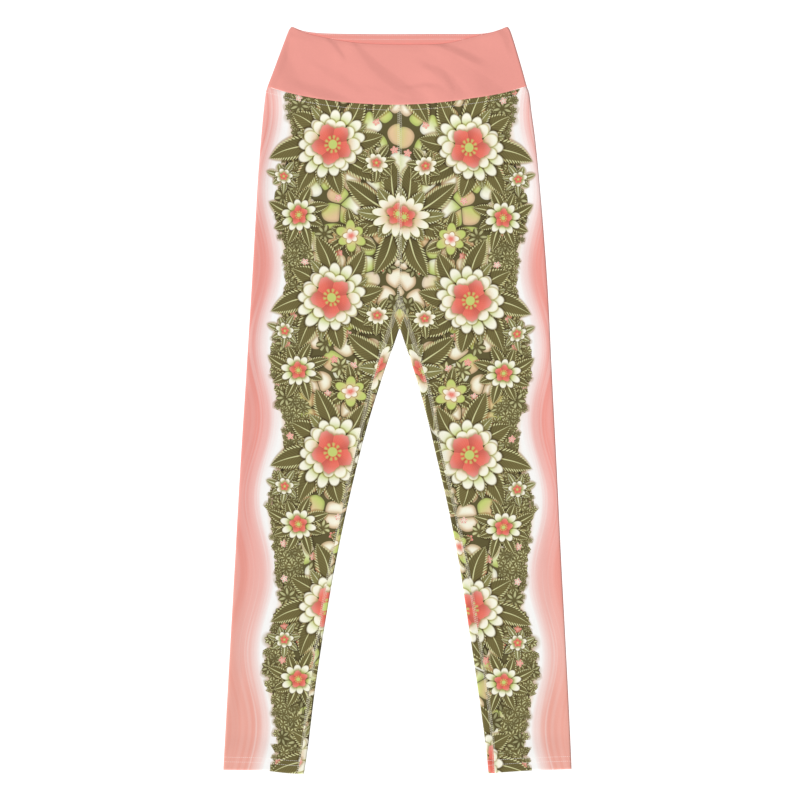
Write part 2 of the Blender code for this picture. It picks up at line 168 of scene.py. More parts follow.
BAND_CREASES = creases(
    0.0014,
    (0.115, (-0.0900, 0.0160, 0.0035), (-0.0818, 0.0232, 0.0060), (-0.0735, 0.0352, 0.0040)),
    (0.088, (-0.0570, 0.0215, 0.0050), (-0.0465, 0.0335, 0.0090), (-0.0315, 0.0500, 0.0140),
     (-0.0160, 0.0630, 0.0160), (-0.0010, 0.0745, 0.0160), (0.0120, 0.0815, 0.0120)),
    (0.050, (-0.1020, 0.0505, 0.0070), (-0.0790, 0.0630, 0.0125), (-0.0560, 0.0765, 0.0090)),
    (0.105, (-0.1170, 0.0765, 0.0110), (-0.1005, 0.0825, 0.0170), (-0.0830, 0.0900, 0.0140)),
    (0.065, (-0.1500, 0.0400, 0.0180), (-0.1380, 0.0700, 0.0240)),
    (0.100, (-0.1431, 0.0229, 0.0050), (-0.1456, 0.0419, 0.0070), (-0.1583, 0.0698, 0.0070)),
    (0.045, (-0.1368, 0.0095, 0.0040), (-0.1139, 0.0160, 0.0040)),
    (0.150, (0.0330, 0.0205, 0.0030), (0.0515, 0.0222, 0.0060), (0.0705, 0.0293, 0.0095),
     (0.0915, 0.0390, 0.0100)),
    (0.035, (0.0106, 0.0298, 0.0028), (0.0410, 0.0290, 0.0028)),
    (0.090, (0.0370, 0.0510, 0.0080), (0.0490, 0.0570, 0.0120), (0.0610, 0.0655, 0.0140),
     (0.0690, 0.0760, 0.0130)),
    (0.085, (0.0610, 0.0690, 0.0080), (0.0655, 0.0790, 0.0100), (0.0650, 0.0920, 0.0090)),
    (0.120, (0.0144, 0.0765, 0.0050), (0.0334, 0.0735, 0.0060), (0.0487, 0.0765, 0.0070),
     (0.0570, 0.0830, 0.0060)),
    (0.060, (0.0840, 0.0590, 0.0200), (0.1040, 0.0740, 0.0260), (0.1185, 0.0850, 0.0260)),
    (0.095, (0.1249, 0.0013, 0.0090), (0.1338, 0.0114, 0.0100), (0.1376, 0.0241, 0.0070)),
    (0.050, (0.0000, 0.0900, 0.0070), (0.0152, 0.0932, 0.0070)),
    (0.035, (-0.0402, 0.0760, 0.0050), (-0.0250, 0.0797, 0.0050)),
    (0.020, (0.0900, 0.0190, 0.0400), (0.1100, 0.0410, 0.0480), (0.1260, 0.0750, 0.0480)),
)
LEG_CREASES = creases(
    0.0004,
    (0.022, (-0.0760, 0.3520, 0.0080), (-0.0500, 0.3580, 0.0100), (-0.0240, 0.3700, 0.0060)),
    (0.020, (-0.1640, 0.2060, 0.0080), (-0.1540, 0.2200, 0.0100), (-0.1460, 0.2380, 0.0060)),
    (0.020, (-0.1360, 0.5380, 0.0080), (-0.1140, 0.5500, 0.0120), (-0.0920, 0.5670, 0.0090)),
    (0.018, (-0.1540, 0.7340, 0.0060), (-0.1360, 0.7460, 0.0090), (-0.1160, 0.7520, 0.0080)),
    (0.024, (0.0180, 0.3260, 0.0060), (0.0380, 0.3140, 0.0090), (0.0620, 0.3050, 0.0080)),
    (0.020, (0.1460, 0.2540, 0.0060), (0.1600, 0.2360, 0.0100), (0.1740, 0.2240, 0.0080)),
    (0.020, (0.0800, 0.4780, 0.0080), (0.1040, 0.4860, 0.0110), (0.1300, 0.5020, 0.0090)),
    (0.018, (0.1120, 0.7000, 0.0060), (0.1340, 0.7080, 0.0090), (0.1580, 0.7120, 0.0080)),
)
BACK_CREASES = creases(
    0.0003,
    (0.045, (-0.1060, 0.0420, 0.0060), (-0.0820, 0.0540, 0.0110), (-0.0560, 0.0720, 0.0080)),
    (0.040, (0.0260, 0.0380, 0.0050), (0.0520, 0.0480, 0.0100), (0.0860, 0.0680, 0.0090)),
    (0.035, (-0.0240, 0.0640, 0.0080), (0.0040, 0.0740, 0.0090)),
    (0.030, (-0.1420, 0.1720, 0.0080), (-0.1080, 0.2060, 0.0130), (-0.0780, 0.2520, 0.0100)),
    (0.030, (0.0700, 0.2240, 0.0080), (0.1080, 0.2480, 0.0140), (0.1420, 0.2880, 0.0100)),
    (0.028, (-0.0660, 0.3720, 0.0070), (-0.0400, 0.3860, 0.0100), (-0.0200, 0.4060, 0.0070)),
    (0.026, (0.0240, 0.3640, 0.0070), (0.0480, 0.3740, 0.0110), (0.0700, 0.3940, 0.0080)),
    (0.026, (-0.1280, 0.5600, 0.0080), (-0.1020, 0.5760, 0.0120), (-0.0820, 0.6000, 0.0080)),
    (0.024, (0.0980, 0.6220, 0.0070), (0.1220, 0.6320, 0.0120), (0.1420, 0.6520, 0.0080)),
    (0.024, (-0.1460, 0.7700, 0.0060), (-0.1260, 0.7840, 0.0100), (-0.1100, 0.8060, 0.0060)),
)
# How far a crease reaches past its path's ends and to each side of its fall, in its own widths.
CREASE_END = 1.6
GENTLE_SIDE = 3.0
# How much of a crease's fall is an S, and the rest a straight ramp.
FALL_SOFTNESS = 0.35

# How the front waistband's cloth falls towards its top edge, away from the side folds.
FRONT_EDGE_FALL = 0.0003
FRONT_EDGE_REACH = 0.0045
FRONT_EDGE_END = 0.030

# ---------------- how finely each shell is divided
FOLD_COLUMNS = 8
# The zones round a leg, from the front seam over the outer fold and under to the inseam.
LEG_ZONES = table("name columns", ("front", 72), ("outer_fold", FOLD_COLUMNS), ("back", 24),
                  ("under", 5), ("inner_fold", FOLD_COLUMNS), ("wrap", 5))
HIP_ZONES = LEG_ZONES[:3]
LEG_STEP = 0.0027
BAND_FRONT_COLUMNS = 210
BAND_BACK_COLUMNS = 150
BAND_FOLD_COLUMNS = 5
BAND_ROWS = 50
GUSSET_EDGE = 12
GUSSET_TIP = 6
GUSSET_FLAT = 14
SHARP_ANGLE = math.radians(60)
# Closer rows beside the edges: how wide their strip is on a leg, what share of the waistband's height
# it is there, and where they lie in it.
LEG_EDGE = 0.0022
BAND_EDGE = 0.016
EDGE_PLACES = np.array((0.0, 0.06, 0.2, 0.42, 0.7, 1.0))

# The bake map: the share of its width that the outer faces take, and the margin round each part.
OUTER_SHARE = 0.88
MAP_EDGE = 0.004

# The left leg's print lies a little further out and lower than the right one's.
PRINT_SLIP = (-0.0033, -0.0040)
# Where the waistband's centre-front line lies across the cut cloth.
BAND_MAP_MIDDLE = 0.5

# ---------------- sewing
# One stitch's shape, in its own lengths and widths, then how it is laid on the cloth.
STITCH_SIDES = 6
STITCH_CUTS = 3
STITCH_END = 0.45
STITCH_TAPER = 0.45
STITCH_GAP = 0.22
STITCH_LIFT = 0.00004
STITCH_RISE = 0.00012
THREAD_FLATNESS = 0.7
# Steps along a row's line, and how far above and below it the cloth's tilt is measured.
LINE_STEP = 0.0022
LINE_SHIFT = 0.0005

# The rows inside the waistband's top edge.
BAND_ROWS_BELOW_TOP = (0.0013, 0.0066)
BAND_ROW_REACH = 0.128
BAND_ROW_POINTS = 240

# Flat seams: the cover threads cross them, and the needle rows run at shares of their half width.
COVER_RISE = 0.00008
NEEDLE_RISE = 0.00011
NEEDLE_PLACES = (-0.9, 0.0, 0.9)
NEEDLE_GAP = 0.04
# The centre seams start below the waist seam and spread over a wedge above the gusset. The inseams stop
# short of the hem's edge and narrow towards it.
SEAM_START = 0.0004
SEAM_WEDGE = 0.0160
SEAM_SPREAD = 1.4
INSEAM_END = 0.0016
INSEAM_NARROWING = 0.75

# ---------------- stage
FLOOR_SIZE = 12.0
FLOOR_DROP = 0.0002
FLOOR_COLOR = (0.94, 0.94, 0.94)
WHITE = (1.0, 1.0, 1.0, 1.0)
VIEW_SPAN = 1.016
VIEW_PLACE = (0.0032, 0.0006, 3.0)
KEY_PLACE = (-1.5, -1.6, 1.6)


# ---------------- sizes and colours a user may change
def measure(name, description, default):
    """A length to change."""
    return FloatProperty(name=name, description=description, default=default, unit="LENGTH")


def dye(name, description, *default):
    """A colour to change."""
    return FloatVectorProperty(name=name, description=description, default=default, subtype="COLOR_GAMMA",
                               min=0, max=1)


class ClothSizes(bpy.types.PropertyGroup):
    knit: measure("Knit", "Thickness of one layer of knit", 0.0008)
    hem: measure("Hem", "Thickness of the turned-up hem", 0.0016)
    band: measure("Waistband", "Thickness of the doubled waistband", 0.0018)
    underside: measure("Underside", "Height at which the seam threads hold the knit", 0.0004)
    seam_dip: measure("Seam dip", "How far cloth is drawn in at the waist seam", 0.0003)
    seam_dip_reach: measure("Seam dip reach", "How wide that dip is", 0.0020)


class SewingSizes(bpy.types.PropertyGroup):
    thread: measure("Thread", "Width of a topstitching thread", 0.00040)
    seam_thread: measure("Seam thread", "Width of a flat seam's threads", 0.00026)
    stitch: measure("Stitch", "Length of one topstitch with its gap", 0.0026)
    waist_row: measure("Waist row", "Topstitching's distance below the waist seam", 0.0067)
    hem_row: measure("Hem row", "Upper hem row's distance from the hem's edge", 0.0163)
    hem_pair: measure("Hem pair", "Distance between the two hem rows", 0.0060)
    seam_width: measure("Flat seam", "Width of the threads over a flat seam", 0.0054)
    seam_pitch: measure("Flat seam pitch", "Length of one flat-seam stitch", 0.0025)


class Dyes(bpy.types.PropertyGroup):
    coral: dye("Coral", "Waistband and side bands", 0.937, 0.618, 0.575)
    low_coral: dye("Low coral", "Side bands towards the hems", 0.930, 0.670, 0.610)
    white: dye("White", "Undyed ground of the print", 0.985, 0.98, 0.97)
    olive: dye("Olive", "Fern leaves", 0.47, 0.43, 0.24)
    deep_olive: dye("Deep olive", "Shadows among the leaves", 0.24, 0.21, 0.08)
    lime: dye("Lime", "Young leaves and buds", 0.78, 0.83, 0.46)
    cream: dye("Cream", "Pale petals", 0.985, 0.975, 0.90)
    peach: dye("Peach", "Petal shading", 0.90, 0.77, 0.60)
    blossom: dye("Blossom", "Blossom petals", 0.93, 0.47, 0.40)


class StageSettings(bpy.types.PropertyGroup):
    key: FloatProperty(name="Key light", description="Strength of the soft light from the lower left",
                       default=3.05)
    key_spread: FloatProperty(name="Key spread", description="Angle that the soft light fills",
                              default=math.radians(24), subtype="ANGLE")
    sky: FloatProperty(name="Surround", description="Strength of the even white surround", default=0.40)
    glow: FloatProperty(name="Floor glow", description="Light that the pale floor gives of its own",
                        default=0.34)


# ---------------- small helpers
def blend(start, end, share):
    return start + (end - start) * share


def soft_step(value, start, end):
    """0 before start, 1 after end, and an even S between them."""
    share = np.clip((value - start) / (end - start), 0.0, 1.0)
    return share * share * (3 - 2 * share)


def even_step(value, start, end):
    """0 before start, 1 after end, and nearly a straight ramp between them."""
    ramp = np.clip((value - start) / (end - start), 0.0, 1.0)
    return blend(ramp, soft_step(value, start, end), FALL_SOFTNESS)


def read_curve(rows, at, column):
    """Read a column at places along a table's first column, as a smooth cubic curve."""
    places = np.array([row[0] for row in rows])
    values = np.array([getattr(row, column) for row in rows])
    number = np.arange(len(rows))
    before, after = np.maximum(number - 1, 0), np.minimum(number + 1, number[-1])
    slopes = (values[after] - values[before]) / (places[after] - places[before])
    at = np.clip(at, places[0], places[-1])
    row = np.clip(np.searchsorted(places, at, side="right") - 1, 0, len(places) - 2)
    run, rise = places[row + 1] - places[row], values[row + 1] - values[row]
    share = (at - places[row]) / run
    bulge_start = (slopes[row] * run - rise) * share * (1 - share) ** 2
    bulge_end = (slopes[row + 1] * run - rise) * share ** 2 * (1 - share)
    return blend(values[row], values[row + 1], share) + bulge_start - bulge_end


def place(across, below, height):
    """Points from their distance off the centre-front line, distance down and height."""
    return np.stack(np.broadcast_arrays(CENTRE_FRONT + across, FULL_LENGTH / 2 - below, height), axis=-1)


def edge_round(distance, radius):
    """How far a folded edge has turned down at a distance in from it."""
    into = np.clip(radius - distance, 0.0, radius)
    return radius - np.sqrt(radius ** 2 - into ** 2)


def seam_dip(distance, cloth):
    """How far the cloth dips at a distance from the waist seam."""
    return cloth.seam_dip * np.clip(1 - distance / cloth.seam_dip_reach, 0.0, 1.0) ** 2


def edge_dip(row, cloth):
    """How far a leg's cloth turns in at its waist seam and at its hem."""
    return seam_dip(row - WAIST_SEAM, cloth) + edge_round(FULL_LENGTH - row, cloth.hem + HEM_ROUNDING)


def crease_depth(crease, across, below):
    """How far one crease presses a panel in at a spot, by the stretch of its path that lies nearest."""
    nearest = np.full(np.broadcast(across, below).shape, np.inf)
    depth = np.zeros(nearest.shape)
    for start, end in zip(crease.path, crease.path[1:]):
        run_across, run_below = end.across - start.across, end.below - start.below
        length = math.hypot(run_across, run_below)
        from_across, from_below = across - start.across, below - start.below
        along = (from_across * run_across + from_below * run_below) / length
        off = (from_across * run_below - from_below * run_across) / length
        past_end = np.maximum(np.maximum(-along, along - length), 0.0)
        distance = np.hypot(off, past_end)
        width = blend(start.width, end.width, np.clip(along / length, 0.0, 1.0))
        share = off / width
        fallen = (even_step(share, -0.5, 0.5) - soft_step(share, -0.5 - GENTLE_SIDE, -0.5) / 2
                  - soft_step(share, 0.5, 0.5 + GENTLE_SIDE) / 2)
        here = crease.slope * width * fallen * np.exp(-(past_end / (width * CREASE_END)) ** 2)
        depth = np.where(distance < nearest, here, depth)
        nearest = np.minimum(distance, nearest)
    return depth


def pressed_in(pulled, across, below, fall=0.0):
    """How far a panel's creases, and any other fall, press it in at a spot; less than 0 on their ridges."""
    depth = fall + sum(crease_depth(crease, across, below) for crease in pulled.rows)
    return depth / (1 + (depth / pulled.deepest) ** 4) ** 0.25


def lifted(across, below):
    """How far the hidden side's creases lift its cloth at a spot."""
    return np.maximum(pressed_in(BACK_CREASES, across, below), 0.0)


# ---------------- where the legs' cloth lies
def edge_distance(across, below, side):
    """How far a spot lies in from the nearest fold of the legs' outline."""
    from_side = read_curve(SIDE_FOLDS, below, side) - np.abs(across)
    from_fold = np.abs(across) - read_curve(INNER_FOLDS, below, side)
    from_crotch = np.hypot(across, CROTCH_FOLD - below)
    return np.minimum(from_side, np.where(below > CROTCH_FOLD, from_fold, from_crotch))


def near_waist(row):
    """1 at the waist seam, and 0 from a little way below it."""
    return 1 - soft_step(row, WAIST_SEAM, WAIST_SEAM + WAIST_REACH)


def layers_at(row):
    """Lay and roll of a leg at a row, thicker at the waist seam and at the hem."""
    near_hem = soft_step(row, HEM_LINE - HEM_REACH, HEM_LINE)
    return Layers(*(
        body + (waist - body) * near_waist(row) + (hem - body) * near_hem
        for body, waist, hem in zip(BODY_LAYERS, WAIST_LAYERS, HEM_LAYERS)
    ))


def face_height(across, below, row, side, lower, cloth):
    """Height of the lower layer's face, or of the upper one's, which is fuller beside the folds."""
    layers = layers_at(row)
    off_fold = soft_step(edge_distance(across, below, side), layers.roll / 2, ROLL_REACH)
    if lower:
        return cloth.underside + lifted(across, below) * off_fold + edge_dip(row, cloth)
    pressed = (pressed_in(LEG_CREASES, across, below)
               + pressed_in(BAND_CREASES, across, below) * near_waist(row))
    return blend(layers.roll, layers.lay - pressed, off_fold) - edge_dip(row, cloth)


def seam_line(side, below):
    """Distance of the gusset's seam, and below it of the inseam, from the centre-front line."""
    corner = read_curve(INNER_FOLDS, GUSSET_CORNER, side) + read_curve(WRAPS, GUSSET_CORNER, side)
    beside_gusset = corner * np.maximum(below - GUSSET_TOP, 0) / (GUSSET_CORNER - GUSSET_TOP)
    inseam = read_curve(INNER_FOLDS, below, side) + read_curve(WRAPS, below, side)
    return np.where(below <= GUSSET_CORNER, beside_gusset, inseam)


def bend_row(row, across, share, side, lower):
    """Distance down of a leg's row, bent to follow the waist seam above and the hem below."""
    seam = BACK_SEAM if lower else FRONT_SEAM
    near_seam = 1 - soft_step(row, WAIST_SEAM, WAIST_SEAM + SEAM_EASE)
    near_hem = soft_step(row, FULL_LENGTH - HEM_EASE, FULL_LENGTH)
    seam_shift = (read_curve(seam, across, "below") - WAIST_SEAM) * near_seam
    hem_shift = (read_curve(HEM_EDGE, share, side) - FULL_LENGTH) * near_hem
    return row + seam_shift + hem_shift


def leg_rows():
    """Rows down a leg, closer at the seam and at the hem's edge, with one on each end of the gusset."""
    start = WAIST_SEAM + SEAM_GAP / 2
    edge = LEG_EDGE * EDGE_PLACES
    stops = (start + edge[-1], GUSSET_TOP, GUSSET_CORNER + SEAM_GAP / 2, HEM_LINE, FULL_LENGTH - edge[-1])
    rows = [start + edge[:-1]]
    for first, last in zip(stops, stops[1:]):
        count = max(round((last - first) / LEG_STEP), 1)
        rows.append(first + (last - first) * np.arange(count) / count)
    return np.concatenate([*rows, FULL_LENGTH - edge[::-1]])


def leg_spot(side, zone, share, row, cloth):
    """Points on a leg's outer face, and their distance from the centre-front line in the print."""
    sign = SIGN[side]
    radius = layers_at(row).roll / 2
    side_below = bend_row(row, sign * read_curve(SIDE_FOLDS, WAIST_SEAM, side), 1.0, side, False)
    outer, inner = read_curve(SIDE_FOLDS, side_below, side), read_curve(INNER_FOLDS, row, side)
    if zone in ("outer_fold", "inner_fold"):
        angle = math.pi * share
        middle = radius + cloth.underside / 2
        rise = (radius - cloth.underside / 2 - edge_dip(row, cloth)) * np.cos(angle)
        if zone == "outer_fold":
            off = outer - radius + radius * np.sin(angle)
            return place(sign * off, side_below, middle + rise), off
        off = inner + radius - radius * np.sin(angle)
        fold_below = bend_row(row, sign * inner, 0.0, side, True)
        return place(sign * off, fold_below, middle - rise), inner + radius * (1 - angle)

    seam = seam_line(side, row)
    start, end = {
        "front": (seam + SEAM_GAP / 2, outer - radius),
        "back": (outer - radius, seam + SEAM_GAP / 2),
        "under": (seam + SEAM_GAP / 2, inner + radius),
        "wrap": (inner + radius, seam - SEAM_GAP / 2),
    }[zone]
    off = blend(start, end, share)
    lower = zone in ("back", "under")
    below = bend_row(row, sign * off, (off - inner) / (outer - inner), side, lower)
    in_print = off if zone != "wrap" else inner + radius * (1 - math.pi) - (off - inner - radius)
    return place(sign * off, below, face_height(sign * off, below, row, side, lower, cloth)), in_print


# ---------------- making and finishing a shell
def deselect_all():
    bpy.ops.object.select_all(action="DESELECT")


@contextmanager
def edit_mode(action=None):
    """Edit the active piece, with all or none of it selected first where an action says so."""
    bpy.ops.object.mode_set(mode="EDIT")
    if action:
        bpy.ops.mesh.select_all(action=action)
    yield
    bpy.ops.object.mode_set(mode="OBJECT")


def select_parts(mesh, kind, wanted):
    """Select the wanted ones of the active piece's faces or edges, and nothing else."""
    with edit_mode("DESELECT"):
        bpy.ops.mesh.select_mode(type=kind)
    parts = mesh.polygons if kind == "FACE" else mesh.edges
    parts.foreach_set("select", wanted)


def read_all(parts, key, kind=np.int32, width=1):
    """One value, or as many as the width, of every vertex, edge, corner or face."""
    values = np.empty(len(parts) * width, kind)
    parts.foreach_get(key, values)
    return values.reshape(-1, width) if width > 1 else values


def grid_sheet(name, points, left_out, face_down):
    """A grid laid through points[row, column], and the row and column that each vertex came from."""
    rows, columns = points.shape[0] - 1, points.shape[1] - 1
    deselect_all()
    bpy.ops.mesh.primitive_grid_add(x_subdivisions=columns, y_subdivisions=rows, size=1.0)
    piece = bpy.context.object
    mesh = piece.data
    piece.name = mesh.name = name
    flat = read_all(mesh.vertices, "co", np.float32, 3)
    column = np.rint((flat[:, 0] + 0.5) * columns).astype(np.int32)
    row = np.rint((flat[:, 1] + 0.5) * rows).astype(np.int32)
    mesh.vertices.foreach_set("co", points[row, column].astype(np.float32).ravel())
    for key, values in (("grid_row", row), ("grid_column", column)):
        mesh.attributes.new(key, "INT", "POINT").data.foreach_set("value", values)
    if left_out is not None:
        corners = read_all(mesh.loops, "vertex_index").reshape(-1, 4)
        select_parts(mesh, "FACE", left_out[row[corners].min(axis=1), column[corners].min(axis=1)])
        with edit_mode():
            bpy.ops.mesh.delete(type="FACE")
    if face_down:
        with edit_mode("SELECT"):
            bpy.ops.mesh.flip_normals()
    bpy.ops.object.shade_smooth()
    return piece, *(read_all(mesh.attributes[key].data, "value") for key in ("grid_row", "grid_column"))


def add_map(mesh, name, across, down):
    """A UV map from a place for each vertex."""
    corners = read_all(mesh.loops, "vertex_index")
    layer = mesh.uv_layers.new(name=name, do_init=False)
    layer.uv.foreach_set("vector", np.stack([across, down], axis=-1)[corners].astype(np.float32).ravel())


def grid_shares(points, axis):
    """Shares of the way down a grid, or for axis 1 across it, measured where it is longest."""
    steps = np.linalg.norm(np.diff(points, axis=axis), axis=-1).max(axis=1 - axis)
    reach = np.concatenate([[0.0], np.cumsum(steps)])
    return reach / reach[-1]


def part_bake_map(mesh, outer_faces):
    """Give the outer face most of the bake map and the hidden inner face a narrow strip of it."""
    layer = mesh.uv_layers["OFBake"]
    across, down = read_all(layer.uv, "vector", np.float32, 2).T
    inner = np.arange(len(mesh.loops)) >= 4 * outer_faces
    start, width = np.where(inner, OUTER_SHARE, 0.0), np.where(inner, 1 - OUTER_SHARE, OUTER_SHARE)
    across = start + MAP_EDGE + (width - 2 * MAP_EDGE) * across
    down = MAP_EDGE + (1 - 2 * MAP_EDGE) * down
    layer.uv.foreach_set("vector", np.stack([across, down], axis=-1).astype(np.float32).ravel())


def finish_piece(piece, slot, *nodes):
    """Say what the piece rides on and hide the model's nodes that it stands for; what it is made of, the
    slot, is not used.
    """
    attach(piece, "root")
    if nodes:
        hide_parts(*nodes)


def make_shell(name, node, slot, points, across, finishes, wall, face_down=False, slip=(0.0, 0.0),
               shares=None, left_out=None, doubled=None, thin_share=1.0):
    """A sheet of cloth through points[row, column], with its wall inwards, that stands for a node.

    "across" is each point's place across the cut cloth, and "slip" moves the print on it. The last finish
    is the inner face's. "left_out" marks the cells that the cut leaves away, and "doubled" the rows that
    have the full wall, of which the others have the thin share.
    """
    piece, row, column = grid_sheet(name, points, left_out, face_down)
    mesh = piece.data
    below = FULL_LENGTH / 2 - points[..., 1]
    add_map(mesh, "cut", across[row, column] + slip[0], below[row, column] + slip[1])
    over, down = shares or (grid_shares(points, 1), grid_shares(points, 0))
    add_map(mesh, "OFBake", over[column], down[row])
    for finish in finishes:
        mesh.materials.append(finish)
    outer_faces = len(mesh.polygons)
    solid = piece.modifiers.new("Wall", "SOLIDIFY")
    solid.thickness = wall
    solid.offset = -1.0
    solid.use_even_offset = True
    solid.use_quality_normals = True
    solid.material_offset = len(finishes) - 1
    if doubled is not None:
        group = piece.vertex_groups.new(name="doubled")
        group.add(np.flatnonzero(doubled[row]).tolist(), 1.0, "REPLACE")
        solid.vertex_group = group.name
        solid.thickness_vertex_group = thin_share
    bpy.context.view_layer.objects.active = piece
    bpy.ops.object.modifier_apply(modifier=solid.name)
    part_bake_map(mesh, outer_faces)
    bpy.ops.object.shade_smooth_by_angle(angle=SHARP_ANGLE)
    finish_piece(piece, slot, node)
    return piece


# ---------------- the five cloth pieces
def make_leg(side, finishes, cloth):
    """One leg: a C round the hip, and from the gusset's corner down a tube slit at the inseam."""
    rows = leg_rows()[:, None]
    grids = []
    for zone in LEG_ZONES:
        share = np.arange(zone.columns + (zone is LEG_ZONES[-1])) / zone.columns
        grids.append(leg_spot(side, zone.name, share[None, :], rows, cloth))
    points, across = (np.concatenate(parts, axis=1) for parts in zip(*grids))
    left_out = np.zeros(across.shape, bool)
    tube_row = int(np.argmin(np.abs(rows - GUSSET_CORNER - SEAM_GAP / 2)))
    left_out[:tube_row, sum(zone.columns for zone in HIP_ZONES):] = True
    return make_shell(side + "_leg_knit", side + "_leg", "printed_knit", points, across, finishes, cloth.hem,
                      face_down=side == "left", slip=PRINT_SLIP if side == "left" else (0.0, 0.0),
                      left_out=left_out, doubled=rows[:, 0] >= HEM_LINE - 1e-6,
                      thin_share=cloth.knit / cloth.hem)


def gusset_step(step):
    """At one step along the gusset: its side, its fold, the way from there into the cloth, and its seam."""
    middle = GUSSET_EDGE + GUSSET_TIP
    side = "left" if step > middle else "right"
    sign = SIGN[side]
    off_middle = abs(step - middle)
    tip_below, corner_below = CROTCH_FOLD + CROTCH_RADIUS, GUSSET_CORNER - SEAM_GAP / 2
    if off_middle < GUSSET_TIP:
        angle = math.pi / 2 * off_middle / GUSSET_TIP
        way = (sign * math.sin(angle), -math.cos(angle))
        fold = (way[0] * CROTCH_RADIUS, tip_below + way[1] * CROTCH_RADIUS)
    else:
        share = (off_middle - GUSSET_TIP) / GUSSET_EDGE
        way = (sign, 0.0)
        corner = read_curve(INNER_FOLDS, GUSSET_CORNER, side)
        fold = (sign * blend(CROTCH_RADIUS, corner, share), blend(tip_below, corner_below, share))
    slope = seam_line("right", GUSSET_CORNER) / (GUSSET_CORNER - GUSSET_TOP)
    below = blend(GUSSET_TOP + SEAM_GAP / 2 / slope, corner_below, off_middle / middle)
    seam = (sign * max(float(seam_line(side, below)) - SEAM_GAP / 2, 0.0), below)
    return side, *(np.array(pair)[:, None] for pair in (fold, way, seam))


def make_gusset(finishes, cloth):
    """The gusset: its front and back halves lie on each other and join round the crotch's fold."""
    radius = BODY_LAYERS.roll / 2
    angle = math.pi * np.arange(FOLD_COLUMNS + 1) / FOLD_COLUMNS
    fold_height = radius + cloth.underside / 2 - (radius - cloth.underside / 2) * np.cos(angle)
    share = np.arange(1, GUSSET_FLAT + 1) / GUSSET_FLAT
    columns = []
    for step in range(2 * (GUSSET_EDGE + GUSSET_TIP) + 1):
        side, fold, way, seam = gusset_step(step)
        across, below = blend(fold + way * radius, seam, share)
        front, back = (place(across, below, face_height(across, below, below, side, lower, cloth))
                       for lower in (False, True))
        round_fold = place(*(fold + way * (radius * (1 - np.sin(angle)))), fold_height)
        columns.append(np.concatenate([back[::-1], round_fold, front]))
    points = np.stack(columns, axis=1)
    shares = [np.arange(count) / (count - 1) for count in (points.shape[1], points.shape[0])]
    return make_shell("gusset_knit", "gusset", "printed_knit", points, np.abs(points[..., 0] - CENTRE_FRONT),
                      finishes, cloth.knit, shares=shares)


def make_band(name, node, columns, top, seam, front, finish, cloth):
    """Half of the waistband, from one side fold to the other, where it meets the other half."""
    turns = np.arange(BAND_FOLD_COLUMNS, 0, -1) / BAND_FOLD_COLUMNS
    turn = np.concatenate([[1.0], turns, np.zeros(columns + 1), turns[::-1], [1.0]])
    share = np.pad(np.linspace(-1, 1, columns + 1), BAND_FOLD_COLUMNS + 1, mode="edge")
    end = np.zeros(len(turn), bool)
    end[[0, -1]] = True
    edge = BAND_EDGE * EDGE_PLACES
    drop = np.concatenate([edge[:-1], np.linspace(edge[-1], 1 - edge[-1], BAND_ROWS), 1 - edge[::-1][1:]])
    drop = drop[:, None]

    left_half = share > 0
    top_across = share * np.where(left_half, SIDE_FOLDS[0].left, SIDE_FOLDS[0].right)
    seam_across = share * np.where(left_half, seam[-1].across, -seam[0].across)
    top_below = read_curve(top, top_across, "below")
    seam_below = read_curve(seam, seam_across, "below") - SEAM_GAP / 2
    below = blend(top_below, seam_below, drop)
    length = seam_below - top_below
    reach = np.where(left_half, read_curve(SIDE_FOLDS, below, "left"), read_curve(SIDE_FOLDS, below, "right"))
    angle = math.pi / 2 * turn
    across = share * (reach - BAND_ROLL_RADIUS) + np.sign(share) * BAND_ROLL_RADIUS * np.sin(angle)
    middle = BAND_ROLL / 2
    depth = np.where(end, middle - SEAM_GAP / 2, BAND_ROLL_RADIUS * (1 - np.cos(angle)))
    flatness = 1 - depth / middle
    turned = edge_round(drop * length, cloth.band / 4) + seam_dip((1 - drop) * length, cloth)
    depth = depth + turned * flatness
    if front:
        by_edge = 1 - soft_step(drop * length, 0.0, FRONT_EDGE_REACH)
        fall = FRONT_EDGE_FALL * by_edge * soft_step(reach - np.abs(across), 0.0, FRONT_EDGE_END)
        height = BAND_ROLL - (depth + pressed_in(BAND_CREASES, across, below, fall) * flatness)
    else:
        height = depth + lifted(across, below) * flatness
    points = place(across, below, height)
    return make_shell(name, node, "coral_knit", points, points[..., 0] - CENTRE_FRONT + BAND_MAP_MIDDLE,
                      [finish], cloth.band, face_down=front)


# ---------------- sewing
def model_stitch():
    """One short thread along X, a unit long, with tapered ends, to be laid wherever a stitch goes."""
    deselect_all()
    bpy.ops.mesh.primitive_cylinder_add(vertices=STITCH_SIDES, radius=0.5, depth=1.0,
                                        rotation=(0, math.pi / 2, 0))
    stitch = bpy.context.object
    bpy.ops.object.transform_apply(location=True, rotation=True, scale=True)
    mesh = stitch.data
    runs = [[mesh.vertices[index].co.x for index in edge.vertices] for edge in mesh.edges]
    select_parts(mesh, "EDGE", [abs(first - last) > 0.5 for first, last in runs])
    with edit_mode():
        bpy.ops.mesh.subdivide(number_cuts=STITCH_CUTS)
    for vertex in mesh.vertices:
        if abs(vertex.co.x) > STITCH_END:
            vertex.co.y *= STITCH_TAPER
            vertex.co.z *= STITCH_TAPER
    with edit_mode("SELECT"):
        bpy.ops.mesh.normals_make_consistent(inside=False)
    return stitch


